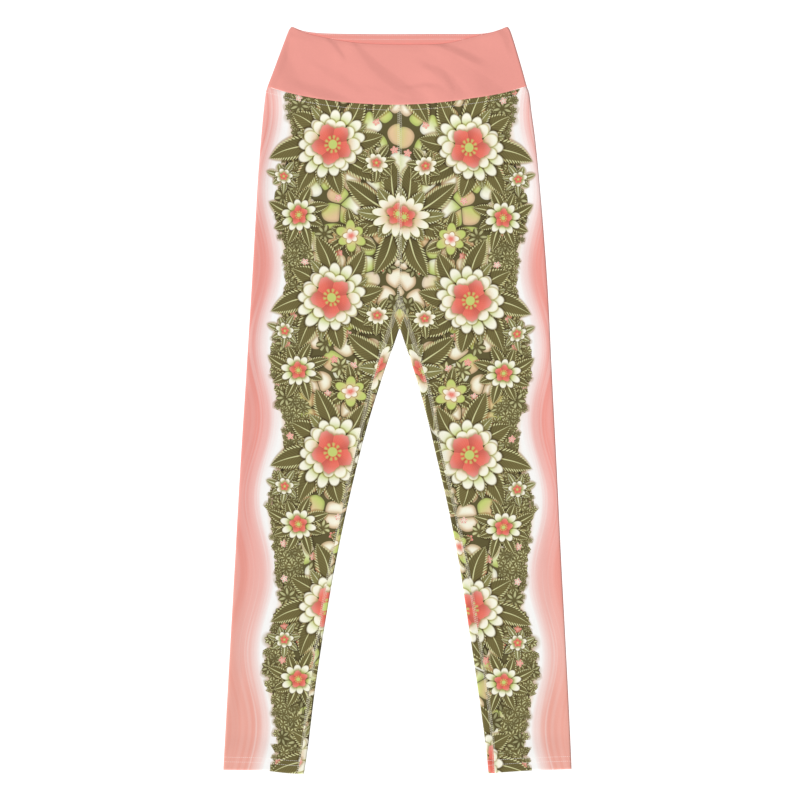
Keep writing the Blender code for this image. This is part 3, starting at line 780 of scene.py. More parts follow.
def lay_threads(name, rows, finish):
    """One mesh with a copy of the stitch laid from the start to the end of each thread.

    A row has its threads' starts, ends and outward ways, their width, and how far they arch outwards.
    """
    stitch = model_stitch()
    shape = np.array([vertex.co for vertex in stitch.data.vertices])
    faces = [tuple(face.vertices) for face in stitch.data.polygons]
    bpy.data.objects.remove(stitch, do_unlink=True)
    along, beside, outward = shape.T[..., None]
    spots = []
    for start, end, out, width, rise in rows:
        run = end - start
        aside = np.cross(out, run)
        aside /= np.linalg.norm(aside, axis=1, keepdims=True)
        height = outward * width * THREAD_FLATNESS + (1 - (2 * along) ** 2) * rise
        spots.append(start[:, None] + run[:, None] * (along + 0.5) + aside[:, None] * (beside * width)
                     + np.atleast_2d(out)[:, None] * height)
    points = np.concatenate(spots).reshape(-1, 3)
    starts = range(0, len(points), len(shape))
    mesh = bpy.data.meshes.new(name)
    mesh.from_pydata(points.tolist(), [], [tuple(first + index for index in face)
                                           for first in starts for face in faces])
    mesh.shade_smooth()
    mesh.materials.append(finish)
    piece = bpy.data.objects.new(name, mesh)
    bpy.context.scene.collection.objects.link(piece)
    finish_piece(piece, "sewing_thread")


def walk(points, step):
    """Even places along a line of points, as shares of its index."""
    lengths = np.concatenate([[0.0], np.cumsum(np.linalg.norm(np.diff(points, axis=0), axis=1))])
    count = max(int(lengths[-1] / step), 1)
    return np.interp(np.linspace(0, lengths[-1], count + 1), lengths, np.arange(len(points)))


def read_line(points, at):
    return np.stack([np.interp(at, np.arange(len(points)), points[:, axis]) for axis in range(3)], axis=-1)


def stitch_row(points, out, sewing):
    """Topstitches along a line on the cloth, whose outward ways are out."""
    at = walk(points, sewing.stitch)
    first, last = (blend(at[:-1], at[1:], share) for share in (STITCH_GAP / 2, 1 - STITCH_GAP / 2))
    way = read_line(out, (first + last) / 2)
    start, end = (read_line(points, place_at) + way * STITCH_LIFT for place_at in (first, last))
    return start, end, way, sewing.thread, STITCH_RISE


def leg_row_line(side, row, zones, cloth):
    """The line that a row takes over some of a leg's zones, and the cloth's outward ways along it."""
    def spots(zone, share, shift=0.0):
        return leg_spot(side, zone.name, share[None], np.array([[row + shift]]), cloth)[0][0]

    lines = []
    for zone in zones:
        start, end = spots(zone, np.array([0.0, 1.0]))
        share = np.linspace(0.0, 1.0, max(int(np.linalg.norm(end - start) / LINE_STEP), 10))
        above, beneath = (spots(zone, share, shift) for shift in (-LINE_SHIFT, LINE_SHIFT))
        lines.append((spots(zone, share), beneath - above))
    points, down = (np.concatenate(parts) for parts in zip(*lines))
    keep = np.concatenate([[True], np.linalg.norm(np.diff(points, axis=0), axis=1) > 1e-5])
    points, down = points[keep], down[keep]
    out = np.cross(down, np.gradient(points, axis=0))
    out /= np.linalg.norm(out, axis=1, keepdims=True)
    if out[len(out) // 4][2] < 0:
        out = -out
    return points, out


def make_leg_stitches(name, rows, finish, cloth, sewing):
    """Topstitching round the legs: each row has its side, its distance down and the zones it crosses."""
    lines = [leg_row_line(side, row, zones, cloth) for side, row, zones in rows]
    lay_threads(name, [stitch_row(*line, sewing) for line in lines], finish)


def make_band_stitches(finish, cloth, sewing):
    """The two rows inside the waistband's top edge, seen on its back half."""
    across = np.linspace(-BAND_ROW_REACH, BAND_ROW_REACH, BAND_ROW_POINTS)
    rows = []
    for drop in BAND_ROWS_BELOW_TOP:
        line = place(across, read_curve(BACK_TOP, across, "below") + drop, cloth.band)
        rows.append(stitch_row(line, np.broadcast_to(np.array([0.0, 0.0, 1.0]), line.shape), sewing))
    lay_threads("band_inside_stitches", rows, finish)


def seam_spot(side, row, off, lower, cloth):
    """A point beside a leg's inner seam, off towards the outer side, on the upper or the lower layer."""
    distance = seam_line(side, row) + off
    across = SIGN[side] * distance
    outer, inner = read_curve(SIDE_FOLDS, row, side), read_curve(INNER_FOLDS, row, side)
    share = np.clip((distance - inner) / (outer - inner), 0.0, 1.0)
    below = bend_row(row, across, share, side, lower)
    return place(across, below, face_height(across, below, row, side, lower, cloth))


def flat_seam(side, start, end, widths, lower, cloth, sewing):
    """Threads over one flat seam: cover threads that cross it to and fro, and needle rows along it."""
    count = max(int((end - start) / sewing.seam_pitch), 2)
    stops = np.linspace(start, end, count + 1)
    upper, under = stops[:-1], stops[1:]
    middle = (upper + under) / 2
    half = blend(*widths, (middle - start) / (end - start)) / 2
    runs = [((upper, -half), (middle, half), COVER_RISE), ((middle, half), (under, -half), COVER_RISE)]
    for needle in NEEDLE_PLACES:
        first, last = ((blend(upper, under, share), half * needle) for share in (NEEDLE_GAP, 1 - NEEDLE_GAP))
        runs.append((first, last, NEEDLE_RISE))
    out = np.array([0.0, 0.0, -1.0 if lower else 1.0])
    return [(seam_spot(side, *first, lower, cloth), seam_spot(side, *last, lower, cloth), out,
             sewing.seam_thread, rise) for first, last, rise in runs]


def make_flat_seams(finish, cloth, sewing):
    """Centre front, centre back, the gusset's seams and both inseams."""
    wide = sewing.seam_width
    spread = wide * SEAM_SPREAD
    top, wedge = WAIST_SEAM + SEAM_START, GUSSET_TOP - SEAM_WEDGE
    layers = (("front", False), ("back", True))
    for face, lower in layers:
        rows = flat_seam("right", top, wedge, (wide, wide), lower, cloth, sewing)
        rows += flat_seam("right", wedge, GUSSET_TOP, (wide, spread), lower, cloth, sewing)
        lay_threads("centre_" + face + "_seam", rows, finish)
    for face, lower in layers:
        rows = []
        for side in SIDES:
            rows += flat_seam(side, GUSSET_TOP, GUSSET_CORNER, (spread, wide), lower, cloth, sewing)
        lay_threads("gusset_" + face + "_seams", rows, finish)
    for side in SIDES:
        rows = flat_seam(side, GUSSET_CORNER, FULL_LENGTH - INSEAM_END, (wide, wide * INSEAM_NARROWING),
                         False, cloth, sewing)
        lay_threads(side + "_inseam", rows, finish)


# ---------------- finishes
def math_node(operation, reflected=False):
    """A method that adds a Math node for the operation, on the tone and any other values."""
    def add_node(tone, *others):
        values = (*others, tone) if reflected else (tone, *others)
        return tone.paint.node("ShaderNodeMath", {"operation": operation}, values)
    return add_node


class Tone:
    """One socket of a finish. Arithmetic on it adds Math nodes."""

    def __init__(self, paint, socket):
        self.paint = paint
        self.socket = socket

    __add__ = __radd__ = math_node("ADD")
    __mul__ = __rmul__ = math_node("MULTIPLY")
    __sub__, __rsub__ = math_node("SUBTRACT"), math_node("SUBTRACT", reflected=True)
    __truediv__, __rtruediv__ = math_node("DIVIDE"), math_node("DIVIDE", reflected=True)
    __pow__, __rpow__ = math_node("POWER"), math_node("POWER", reflected=True)
    __abs__ = math_node("ABSOLUTE")
    sine = math_node("SINE")
    cosine = math_node("COSINE")
    angle_over = math_node("ARCTAN2")
    over = math_node("GREATER_THAN")
    under = math_node("LESS_THAN")
    snap = math_node("SNAP")
    bounce = math_node("PINGPONG")
    soft_least = math_node("SMOOTH_MIN")

    def steps(self, span):
        """The nearest whole number of spans."""
        return (self + span / 2).snap(span)

    def wrap(self, span):
        """Offset from the nearest whole number of spans."""
        return self - self.steps(span)

    def zigzag(self, span):
        """0 to 1 and back, over two spans."""
        return self.bounce(span) / span

    def soft(self, low, high):
        """0 at low, 1 at high, with an S between them. Low may be the greater."""
        return self.paint.node("ShaderNodeMapRange", {"interpolation_type": "SMOOTHSTEP"},
                               {"Value": self, "From Min": low, "From Max": high})

    def sister(self, output):
        """Another output of the same node."""
        return Tone(self.paint, self.socket.node.outputs[output])

    def split(self, count=3, kind="ShaderNodeSeparateXYZ"):
        """The first parts of a vector or a color."""
        parts = self.paint.node(kind, {}, (self,))
        return [parts.sister(index) for index in range(count)]


def linear(color):
    """A screen colour as the light it stands for."""
    return tuple(part / 12.92 if part <= 0.04045 else ((part + 0.055) / 1.055) ** 2.4 for part in color)


class Paint:
    """A tree of nodes, and the ways to add to it."""

    def __init__(self, tree):
        self.tree = tree

    def node(self, kind, settings=(), values=(), out=0):
        """Add a node: its settings first, then the values or links of its sockets."""
        made = self.tree.nodes.new(kind)
        for key, value in dict(settings).items():
            setattr(made, key, value)
        for key, value in values.items() if isinstance(values, dict) else enumerate(values):
            if isinstance(key, int):
                socket = made.inputs[key]
            else:
                socket = next(s for s in made.inputs if s.enabled and key in (s.identifier, s.name))
            self.feed(socket, value)
        return Tone(self, made.outputs[out])

    def feed(self, socket, value):
        if isinstance(value, Tone):
            self.tree.links.new(value.socket, socket)
        elif isinstance(value, tuple) and len(value) == 3 and socket.type == "RGBA":
            socket.default_value = (*value, 1.0)
        else:
            socket.default_value = value

    def mix(self, factor, first, second, way="MIX"):
        """Two colours mixed."""
        return self.node("ShaderNodeMix", {"data_type": "RGBA", "blend_type": way},
                         {"Factor": factor, "A": first, "B": second}, out=2)

    def stain(self, factor, color, tint):
        """A colour multiplied by a tint, as much as the factor says."""
        return self.mix(factor, color, tint, "MULTIPLY")

    def shade(self, color, factor):
        """A colour darkened by a factor."""
        return self.node("ShaderNodeVectorMath", {"operation": "SCALE"}, {"Vector": color, "Scale": factor})

    def vector(self, x, y):
        return self.node("ShaderNodeCombineXYZ", {}, (x, y))

    def noise(self, place_at, scale, detail=2.0):
        return self.node("ShaderNodeTexNoise", {"noise_dimensions": "2D"},
                         {"Vector": place_at, "Scale": scale, "Detail": detail})


class Finish(Paint):
    """The nodes of one finish, which end in its shader."""

    def __init__(self, name, roughness, sheen=0.0, specular=0.3):
        self.material = bpy.data.materials.new(name)
        self.material.use_nodes = True
        super().__init__(self.material.node_tree)
        self.shader = self.tree.nodes["Principled BSDF"]
        self.set({"Roughness": roughness, "Sheen Weight": sheen, "Sheen Roughness": 0.5,
                  "Specular IOR Level": specular})

    def set(self, values):
        """Values or links for the shader's sockets."""
        for name, value in values.items():
            self.feed(self.shader.inputs[name], value)

    def cut_place(self):
        """Across and below on the cut cloth."""
        return self.node("ShaderNodeUVMap", {"uv_map": "cut"}).split(2)


# The knit's stitches: how wide and how high they are, and how far they stand out.
KNIT_WALE = 0.0011
KNIT_COURSE = 0.0009
KNIT_RELIEF = 0.00012


def finish_knit(paint, color, across, below):
    """Lay the knit's fine V stitches over a colour as a bump and as painted shade in their hollows, with
    faint unevenness of dye and yarn.
    """
    wale = (across / KNIT_WALE).zigzag(0.5)
    course = (below / KNIT_COURSE + wale * 0.9).zigzag(0.5)
    knit = wale * 0.5 + course * 0.5
    at = paint.vector(across, below)
    # Real mottle of dye and yarn, plus painted shade: the knit's height darkens its hollows and lightens its
    # ridges in the colour.
    mottle_and_stitch_shade = 0.962 + paint.noise(at, 45.0) * 0.030 + paint.noise(at, 520.0, 1.0) * 0.040 + knit * 0.030
    normal = paint.node("ShaderNodeBump", {}, {"Height": knit, "Distance": KNIT_RELIEF, "Strength": 0.6})
    paint.set({"Base Color": paint.shade(color, mottle_and_stitch_shade), "Normal": normal})
    return paint.material


def plain_finish(name, color):
    """Plain dyed knit with a faint mottle and painted shade between its stitches."""
    paint = Finish(name, roughness=0.78, sheen=0.08)
    return finish_knit(paint, color, *paint.cut_place())


def thread_finish(name, color):
    paint = Finish(name, roughness=0.6, sheen=0.1)
    fibre = paint.noise(paint.node("ShaderNodeTexCoord", out=3), 900.0)
    paint.set({"Base Color": paint.shade(color, 0.90 + fibre * 0.16)})
    return paint.material


# ---------------- the printed garden
PRINT_REPEAT = 0.196
GARDEN_EDGE = 0.1475
GARDEN_FLARE = 0.022
GARDEN_WAVE = 0.0075
GARDEN_LAG = 0.7
HALO_WAVE = 0.0085
HALO_LAG = 1.3
RICH_DYE = (0.97, 0.86, 0.84)
SHADOW_TINT = (0.46, 0.34, 0.17)
BULB_CELL = 0.0260
STREWN_UNEVENNESS = 0.85
WARP_SCALE = 14.0
WARP_REACH = 0.007
WARP_SHIFT = 3.1
TOOTH_STEP = 0.0016
FULL_ANGLE = 2 * math.pi

COLOR_LABELS = ("ground", "dark", "light", "pale", "heart", "outline")


def motif(draw, labels):
    """Draw a motif once, as a group of nodes that can be placed many times."""
    tree = bpy.data.node_groups.new(draw.__name__, "ShaderNodeTree")
    for label in labels.split():
        kind = "NodeSocketColor" if label in COLOR_LABELS else "NodeSocketFloat"
        tree.interface.new_socket(label, in_out="INPUT", socket_type=kind)
    tree.interface.new_socket("printed", in_out="OUTPUT", socket_type="NodeSocketColor")
    paint = Paint(tree)
    given = tree.nodes.new("NodeGroupInput").outputs
    drawn = draw(paint, **{label: Tone(paint, given[label]) for label in labels.split()})
    paint.feed(tree.nodes.new("NodeGroupOutput").inputs[0], drawn)
    return tree


def sector(angle, count):
    """An angle folded into one of a motif's equal parts, and the middle angle of that part."""
    middle = angle.steps(FULL_ANGLE / count)
    return angle - middle, middle


def fern_ring(paint, ground, distance, angle, dark, light, pale, count, length, width, turn, curl, tooth):
    """Fern leaves set in a ring, with slanted teeth, a pale rib and a pale fringe."""
    folded, middle = sector(angle + distance * curl + turn, count)
    own_length = length * (0.88 + (middle * 3 + turn * 7).sine() * 0.12)
    along = distance * folded.cosine()
    side = distance * folded.sine()
    off = abs(side)
    share = along / own_length
    full = share * (1 - share * share) * width * 2.6
    teeth = ((along - off * 1.1) / tooth).zigzag(0.5)
    inside = (full * (0.70 + teeth * 0.30) - off).soft(-0.0003, 0.0004)
    cast = (full - off).soft(-0.0034, 0.0003) * share.soft(1.12, 0.9) * 0.8
    grown = share.soft(-0.1, 0.75)
    body = paint.mix(grown * 0.5 + teeth * grown * 0.35 + side.soft(-0.002, 0.002) * 0.15, dark, light)
    fringe = (full * 0.70 - off).soft(0.0006, -0.0006) * teeth.soft(0.25, 0.75) * share.soft(0.12, 0.4)
    rib = (0.0013 * (1 - share) + 0.0002 - off).soft(-0.0002, 0.0003) * share.soft(0.10, 0.28)
    body = paint.mix(fringe * 0.9, body, pale)
    body = paint.mix(rib * 0.85, body, pale)
    return paint.mix(inside, paint.stain(cast, ground, SHADOW_TINT), body)


def petal_ring(paint, ground, distance, angle, dark, light, outline, count, reach, long, wide, turn):
    """Rounded petals in a ring, shaded from their root to their rim."""
    folded, middle = sector(angle + turn, count)
    own = 1 + (middle * 2 + turn * 5).sine() * 0.10
    along = (distance * folded.cosine() / own - reach) / long
    off = distance * folded.sine() / wide
    out = along * along + off * off
    petal = paint.mix(along.soft(-0.9, 0.55), dark, light)
    petal = paint.mix(out.soft(0.62, 1.0) * 0.8, petal, outline)
    return paint.mix(out.soft(1.10, 0.92), paint.stain(out.soft(1.9, 0.95) * 0.8, ground, SHADOW_TINT), petal)


def blossom(paint, ground, distance, angle, dark, light, pale, heart, size, turn):
    """A five-petalled blossom whose petals overlap one way round and pale to their rim."""
    count = 5
    folded, middle = sector(angle + distance * 9.0 + turn, count)
    lobe = size * (0.84 + (folded * count).cosine() * 0.13 + (angle * 23).sine() * 0.014)
    share = distance / size
    over = (folded * (count / math.pi)).soft(-1.0, 0.35)
    veins = ((folded * 41).sine() * 0.5 + 0.5) * share.soft(0.95, 0.3) * 0.30
    face = paint.mix(share.soft(0.12, 0.62), dark, light)
    face = paint.mix(share.soft(0.62, 1.0) * 0.75, face, pale)
    face = paint.shade(paint.mix(veins, face, dark), 0.74 + over * 0.26)
    stamens = ((angle * 10).sine() * 0.5 + 0.5) * share.soft(0.44, 0.36) * share.soft(0.20, 0.30)
    face = paint.mix(stamens * 0.8, face, heart)
    face = paint.mix(share.soft(0.25, 0.18), face, heart)
    shadow = (lobe - distance).soft(-0.0045, 0.0) * 0.8
    return paint.mix((lobe - distance).soft(-0.0003, 0.0004), paint.stain(shadow, ground, SHADOW_TINT), face)


def strewn_cells(paint, across, below, cell, feature="F1"):
    """The nearest of many unevenly strewn places."""
    return paint.node("ShaderNodeTexVoronoi", {"voronoi_dimensions": "2D", "feature": feature},
                      {"Vector": paint.vector(across / cell, below / cell), "Scale": 1.0,
                       "Randomness": STREWN_UNEVENNESS})


def cell_place_and_lot(nearest):
    """Where a strewn place is, in cells, and three numbers drawn by lot for it."""
    return *nearest.sister("Position").split(2), nearest.sister("Color").split(kind="ShaderNodeSeparateColor")


def garden_edge(below):
    """How far the garden reaches from the centre-front line."""
    wave = (below * (FULL_ANGLE / PRINT_REPEAT) + GARDEN_LAG).sine() * GARDEN_WAVE
    return GARDEN_EDGE + (below - WAIST_SEAM) * GARDEN_FLARE + wave


def sprigs(paint, ground, across, below, dark, light, pale, cell, size, width, count, depth, rarity):
    """Small leafy sprigs, or florets, strewn over the garden as far in from its edge as the depth."""
    at_across, at_below, lot = cell_place_and_lot(strewn_cells(paint, across, below, cell))
    at_across, at_below = at_across * cell, at_below * cell
    over, down = across - at_across, below - at_below
    distance = (over * over + down * down) ** 0.5
    folded, middle = sector(down.angle_over(over) + lot[0] * FULL_ANGLE, count)
    within = garden_edge(at_below) - at_across
    kept = within.over(0.0) * within.under(depth) * lot[2].over(rarity)
    share = 0.58 + within.soft(0.0, 0.010) * 0.42
    along = distance * folded.cosine() / (share * size)
    off = abs(distance * folded.sine())
    full = along * (1 - along * along) * share * (width * 2.6)
    teeth = ((along * size - off) / TOOTH_STEP).zigzag(0.5)
    leaf = paint.mix(lot[1] * 0.6 + teeth * 0.4, dark, light)
    rib = (full * 0.42 - off).soft(0.0, 0.0004) * along.soft(0.15, 0.5)
    leaf = paint.mix(rib * (0.25 + lot[1] * 0.6), leaf, pale)
    shadow = distance.soft(size * 1.05, size * 0.5) * kept * 0.6
    ground = paint.stain(shadow, ground, SHADOW_TINT)
    return paint.mix((full - off).soft(-0.0002, 0.0003) * kept, ground, leaf)


def side_band(paint, across, below, dyes):
    """The coral side bands, streaked along their length, with the white halo by the garden."""
    coral, white, peach = linear(dyes.coral), linear(dyes.white), linear(dyes.low_coral)
    wander = (below * (FULL_ANGLE / PRINT_REPEAT) + HALO_LAG).sine() * HALO_WAVE
    beyond = across - GARDEN_EDGE - (below - WAIST_SEAM) * GARDEN_FLARE - wander
    broad = paint.noise(paint.vector(beyond * 110.0, below * 2.2), 1.0)
    fine = paint.noise(paint.vector(beyond * 300.0, below * 4.0), 1.0, 1.0)
    share = (beyond + (broad - 0.5) * 0.016 + (fine - 0.5) * 0.010).soft(0.001, 0.026)
    near = beyond.soft(0.044, 0.014)
    pale = broad.soft(0.40, 0.72) * (0.07 + near * 0.18) + fine.soft(0.45, 0.75) * near * 0.30
    rich = broad.soft(0.52, 0.30) * (1 - near * 0.5) * 0.4
    dyed = paint.stain(rich, paint.mix(below.soft(0.55, 0.90) * 0.85, coral, peach), RICH_DYE)
    return paint.mix(share, white, paint.mix(pale, dyed, white))


def bulb_ground(paint, across, below, lime, peach, cream, gap):
    """Soft rounded buds that lie close together, each paler to one side."""
    nearest = strewn_cells(paint, across, below, BULB_CELL)
    at_across, at_below, lot = cell_place_and_lot(nearest)
    to_side = strewn_cells(paint, across, below, BULB_CELL, "DISTANCE_TO_EDGE") * BULB_CELL
    to_rim = (0.56 - nearest.sister("Distance")) * BULB_CELL
    border = to_side.soft_least(to_rim, 0.006)
    aim = lot[0] * FULL_ANGLE
    lean = (across / BULB_CELL - at_across) * aim.cosine() + (below / BULB_CELL - at_below) * aim.sine()
    heart = paint.mix(lot[1].soft(0.3, 0.7), peach, cream)
    bulb = paint.mix(lean.soft(-0.45, 0.35), lime, heart)
    bulb = paint.mix(lot[2].over(0.6) * 0.9, bulb, paint.mix(border.soft(0.0, 0.008), peach, cream))
    bulb = paint.shade(bulb, 0.72 + border.soft(0.0, 0.0050) * 0.28)
    return paint.mix(border.soft(0.0010, 0.0), bulb, gap)


# Rings: where their middle is, in what they are drawn, and their sizes.
Fern = namedtuple("Fern", "spot tint count length width turn curl tooth")
Petals = namedtuple("Petals", "spot tint count reach long wide turn")
Blossom = namedtuple("Blossom", "spot tint size turn")
Strewn = namedtuple("Strewn", "tint cell size width count depth rarity")
RING_LABELS = "ground distance angle dark light "
MOTIFS = {
    Fern: (fern_ring, RING_LABELS + "pale count length width turn curl tooth"),
    Petals: (petal_ring, RING_LABELS + "outline count reach long wide turn"),
    Blossom: (blossom, RING_LABELS + "pale heart size turn"),
    Strewn: (sprigs, "ground across below dark light pale cell size width count depth rarity"),
}

SPOTS = {
    "rosette": (0.002, 0.238),
    "crown": (0.086, 0.148),
    "spray": (0.128, 0.240),
    "bud": (0.062, 0.266),
    "petite": (0.146, 0.190),
    "speck": (0.028, 0.172),
}
GROWTH = (
    Fern("rosette", "old", 7, 0.082, 0.0145, 0.35, 3.0, 0.0042),
    Fern("rosette", "young", 7, 0.052, 0.0098, 0.80, 3.0, 0.0042),
    Fern("bud", "old", 6, 0.036, 0.0080, 0.60, -5.0, 0.0034),
    Fern("crown", "old", 8, 0.084, 0.0150, 0.10, -4.0, 0.0042),
    Fern("crown", "young", 8, 0.056, 0.0095, 0.49, -4.0, 0.0042),
    Fern("spray", "old", 8, 0.044, 0.0080, 0.20, 5.0, 0.0034),
    Fern("petite", "young", 7, 0.024, 0.0048, 0.20, 5.0, 0.0026),
    Fern("speck", "old", 7, 0.028, 0.0056, 0.20, 5.0, 0.0030),
    Petals("rosette", "peachy", 12, 0.0200, 0.0100, 0.0052, 0.1),
    Blossom("rosette", "flower", 0.0150, 0.2),
    Petals("crown", "limy", 15, 0.0335, 0.0095, 0.0070, 0.0),
    Petals("crown", "peachy", 11, 0.0255, 0.0085, 0.0074, 0.3),
    Blossom("crown", "flower", 0.0275, 0.9),
    Petals("spray", "limy", 10, 0.0150, 0.0068, 0.0046, 0.2),
    Blossom("spray", "flower", 0.0125, 0.1),
    Petals("bud", "green", 6, 0.0110, 0.0090, 0.0062, 0.5),
    Petals("bud", "rosy", 5, 0.0050, 0.0052, 0.0036, 0.1),
    Petals("petite", "limy", 7, 0.0070, 0.0042, 0.0032, 0.3),
    Blossom("petite", "flower", 0.0058, 0.4),
    Petals("speck", "peachy", 8, 0.0080, 0.0050, 0.0034, 0.3),
    Blossom("speck", "flower", 0.0060, 0.4),
)
UNDERGROWTH = (
    Strewn("leafy", 0.0125, 0.0112, 0.0030, 7, 0.034, 0.0),
    Strewn("leafy", 0.0088, 0.0074, 0.0021, 6, 0.034, 0.0),
    Strewn("old", 0.0230, 0.0128, 0.0040, 7, 0.200, 0.66),
    Strewn("rosy", 0.0190, 0.0052, 0.0017, 5, 0.200, 0.74),
)


def printed_finish(name, dyes):
    """The leg's print: ferns, blossoms, petals and buds between coral side bands."""
    paint = Finish(name, roughness=0.76, sheen=0.06)
    across, below = paint.cut_place()
    warp = paint.noise(paint.vector(across, below), WARP_SCALE, 1.0)
    warp_down = paint.noise(paint.vector(across, below + WARP_SHIFT), WARP_SCALE, 1.0)
    over = across + (warp - 0.5) * WARP_REACH
    down = below + (warp_down - 0.5) * WARP_REACH
    olive, deep, mid = linear(dyes.olive), linear(dyes.deep_olive), linear((0.36, 0.33, 0.18))
    lime, cream, peach = linear(dyes.lime), linear(dyes.cream), linear(dyes.peach)
    coral, blush, red = linear(dyes.blossom), linear(dyes.coral), linear((0.88, 0.30, 0.25))
    fringe = linear((0.89, 0.89, 0.66))
    tints = {
        "old": {"dark": deep, "light": olive, "pale": fringe},
        "young": {"dark": mid, "light": linear((0.56, 0.54, 0.32)), "pale": linear((0.91, 0.92, 0.76))},
        "leafy": {"dark": mid, "light": olive, "pale": fringe},
        "rosy": {"dark": coral, "light": cream, "pale": red, "outline": peach},
        "peachy": {"dark": peach, "light": cream, "outline": fringe},
        "limy": {"dark": lime, "light": cream, "outline": olive},
        "green": {"dark": peach, "light": lime, "outline": olive},
        "flower": {"dark": red, "light": coral, "pale": blush, "heart": lime},
    }

    color = side_band(paint, across, below, dyes)
    inner = garden_edge(down) - over
    color = paint.mix(inner.soft(-0.004, 0.004) * 0.55, color, peach)
    color = paint.mix(inner.soft(0.004, 0.006), color, deep)
    buds = bulb_ground(paint, over, down, lime, peach, cream, mid)
    color = paint.mix(inner.soft(0.024, 0.029), color, buds)

    spots = {}
    for spot, (centre_across, centre_below) in SPOTS.items():
        off_across, off_below = over - centre_across, (down - centre_below).wrap(PRINT_REPEAT)
        distance = (off_across * off_across + off_below * off_below) ** 0.5
        spots[spot] = {"distance": distance, "angle": off_below.angle_over(off_across)}
    trees = {kind: motif(*drawing) for kind, drawing in MOTIFS.items()}
    for row in (*UNDERGROWTH, *GROWTH):
        kind = type(row)
        where = {"across": over, "below": down} if kind is Strewn else spots[row.spot]
        values = {"ground": color, **tints[row.tint], **where, **row._asdict()}
        color = paint.node("ShaderNodeGroup", {"node_tree": trees[kind]},
                           {label: values[label] for label in MOTIFS[kind][1].split()})
    return finish_knit(paint, color, across, below)


# ---------------- operators
def finish_named(name, maker, *values):
    """A finish by its name, made the first time it is asked for."""
    return bpy.data.materials.get(name) or maker(name, *values)


def leg_finishes(dyes):
    """The printed face of the legs and the gusset, and their plain inside."""
    return (finish_named("printed_knit_face", printed_finish, dyes),
            finish_named("knit_inside", plain_finish, linear(dyes.white)))


class LEGGINGS_OT_legs(bpy.types.Operator):
    """Make both printed legs"""
    bl_idname = "leggings.legs"
    bl_label = "Legs"

    def execute(self, context):
        scene = context.scene
        for side in SIDES:
            leg = make_leg(side, leg_finishes(scene.leggings_dyes), scene.leggings_cloth)
        return {"FINISHED"}


class LEGGINGS_OT_gusset(bpy.types.Operator):
    """Make the crotch gusset"""
    bl_idname = "leggings.gusset"
    bl_label = "Gusset"

    def execute(self, context):
        scene = context.scene
        gusset = make_gusset(leg_finishes(scene.leggings_dyes), scene.leggings_cloth)
        return {"FINISHED"}


class LEGGINGS_OT_waistband(bpy.types.Operator):
    """Make both halves of the waistband"""
    bl_idname = "leggings.waistband"
    bl_label = "Waistband"

    def execute(self, context):
        scene = context.scene
        coral = finish_named("coral_knit_face", plain_finish, linear(scene.leggings_dyes.coral))
        back = make_band("band_back_knit", "waistband_back", BAND_BACK_COLUMNS, BACK_TOP, BACK_SEAM, False,
                         coral, scene.leggings_cloth)
        front = make_band("band_front_knit", "waistband_front", BAND_FRONT_COLUMNS, FRONT_TOP, FRONT_SEAM,
                          True, coral, scene.leggings_cloth)
        return {"FINISHED"}


class LEGGINGS_OT_flat_seams(bpy.types.Operator):
    """Lay the threads over the flat seams"""
    bl_idname = "leggings.flat_seams"
    bl_label = "Flat seams"

    def execute(self, context):
        thread = thread_finish("seam_thread", linear((0.93, 0.91, 0.83)))
        make_flat_seams(thread, context.scene.leggings_cloth, context.scene.leggings_sewing)
        return {"FINISHED"}


class LEGGINGS_OT_topstitching(bpy.types.Operator):
    """Sew the waist row, the hems and the rows inside the waistband"""
    bl_idname = "leggings.topstitching"
    bl_label = "Topstitching"

    def execute(self, context):
        cloth, sewing = context.scene.leggings_cloth, context.scene.leggings_sewing
        thread = thread_finish("topstitch_thread", linear((0.99, 0.97, 0.95)))
        waist_row, hem_row = WAIST_SEAM + sewing.waist_row, FULL_LENGTH - sewing.hem_row
        rows = [(side, waist_row, HIP_ZONES) for side in SIDES]
        make_leg_stitches("waist_topstitching", rows, thread, cloth, sewing)
        make_band_stitches(thread, cloth, sewing)
        for side in SIDES:
            rows = [(side, row, LEG_ZONES) for row in (hem_row, hem_row + sewing.hem_pair)]
            make_leg_stitches(side + "_hem_stitches", rows, thread, cloth, sewing)
        return {"FINISHED"}


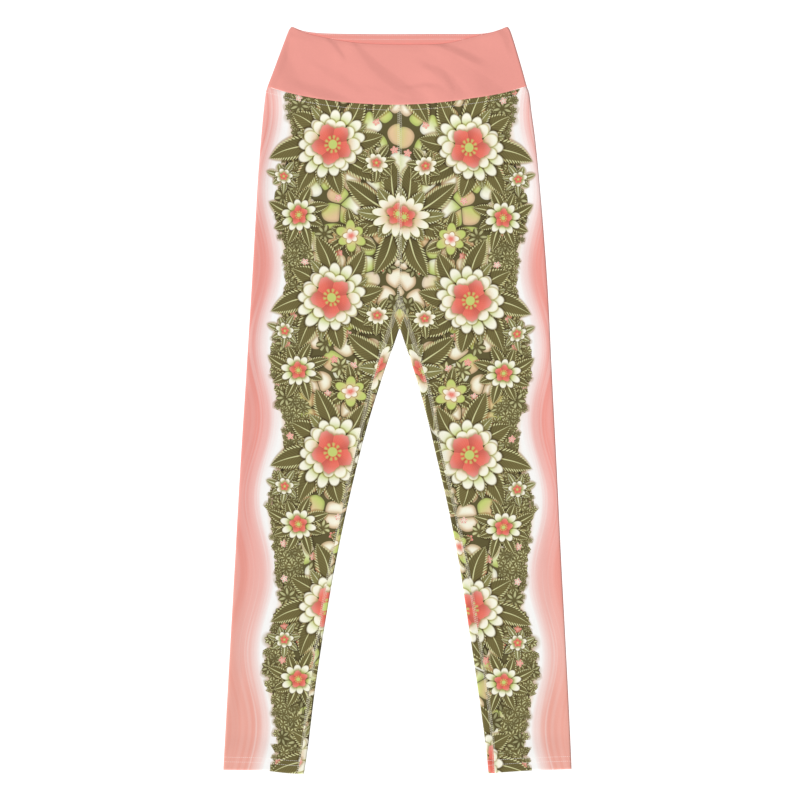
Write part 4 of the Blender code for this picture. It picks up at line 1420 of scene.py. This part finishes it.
class LEGGINGS_OT_stage(bpy.types.Operator):
    """Set the floor, the lights and the camera"""
    bl_idname = "leggings.stage"
    bl_label = "Stage"

    def execute(self, context):
        scene = context.scene
        stage = scene.leggings_stage
        scene.view_settings.view_transform = "Standard"
        deselect_all()
        bpy.ops.mesh.primitive_plane_add(size=FLOOR_SIZE, location=(0, 0, -FLOOR_DROP))
        floor = context.object
        floor.name = "floor"
        paint = Finish("pale_floor", roughness=0.9, specular=0.0)
        paint.set({"Base Color": FLOOR_COLOR, "Emission Color": WHITE, "Emission Strength": stage.glow})
        floor.data.materials.append(paint.material)
        floor.visible_diffuse = False

        scene.world = bpy.data.worlds.new("surround")
        scene.world.use_nodes = True
        surround = scene.world.node_tree.nodes["Background"].inputs
        surround["Color"].default_value = WHITE
        surround["Strength"].default_value = stage.sky

        bpy.ops.object.light_add(type="SUN", location=KEY_PLACE)
        key = context.object
        key.name = "key_light"
        key.data.energy = stage.key
        key.data.angle = stage.key_spread
        key.data.use_shadow = False
        key.rotation_euler = (-key.location).to_track_quat("-Z", "Y").to_euler()

        bpy.ops.object.camera_add(location=VIEW_PLACE, rotation=(0, 0, 0))
        camera = context.object
        camera.name = "main_camera"
        camera.data.type = "ORTHO"
        camera.data.ortho_scale = VIEW_SPAN
        scene.camera = camera
        return {"FINISHED"}


OPERATORS = (LEGGINGS_OT_legs, LEGGINGS_OT_gusset, LEGGINGS_OT_waistband, LEGGINGS_OT_flat_seams,
             LEGGINGS_OT_topstitching, LEGGINGS_OT_stage)
GROUPS = {"leggings_cloth": ClothSizes, "leggings_sewing": SewingSizes, "leggings_dyes": Dyes,
          "leggings_stage": StageSettings}


class LEGGINGS_PT_panel(bpy.types.Panel):
    """The steps that dress the leggings"""
    bl_idname = "LEGGINGS_PT_panel"
    bl_label = "Leggings"
    bl_space_type = "VIEW_3D"
    bl_region_type = "UI"
    bl_category = "Leggings"

    def draw(self, context):
        for step in OPERATORS:
            self.layout.operator(step.bl_idname)


def register():
    for each in (*GROUPS.values(), *OPERATORS, LEGGINGS_PT_panel):
        bpy.utils.register_class(each)
    for name, group in GROUPS.items():
        setattr(bpy.types.Scene, name, PointerProperty(type=group))


def unregister():
    for name in GROUPS:
        delattr(bpy.types.Scene, name)
    for each in reversed((*GROUPS.values(), *OPERATORS, LEGGINGS_PT_panel)):
        bpy.utils.unregister_class(each)


def main():
    register()
    bpy.ops.leggings.legs()
    bpy.ops.leggings.gusset()
    bpy.ops.leggings.waistband()
    bpy.ops.leggings.flat_seams()
    bpy.ops.leggings.topstitching()
    bpy.ops.leggings.stage()


if __name__ == "__main__":
    main()
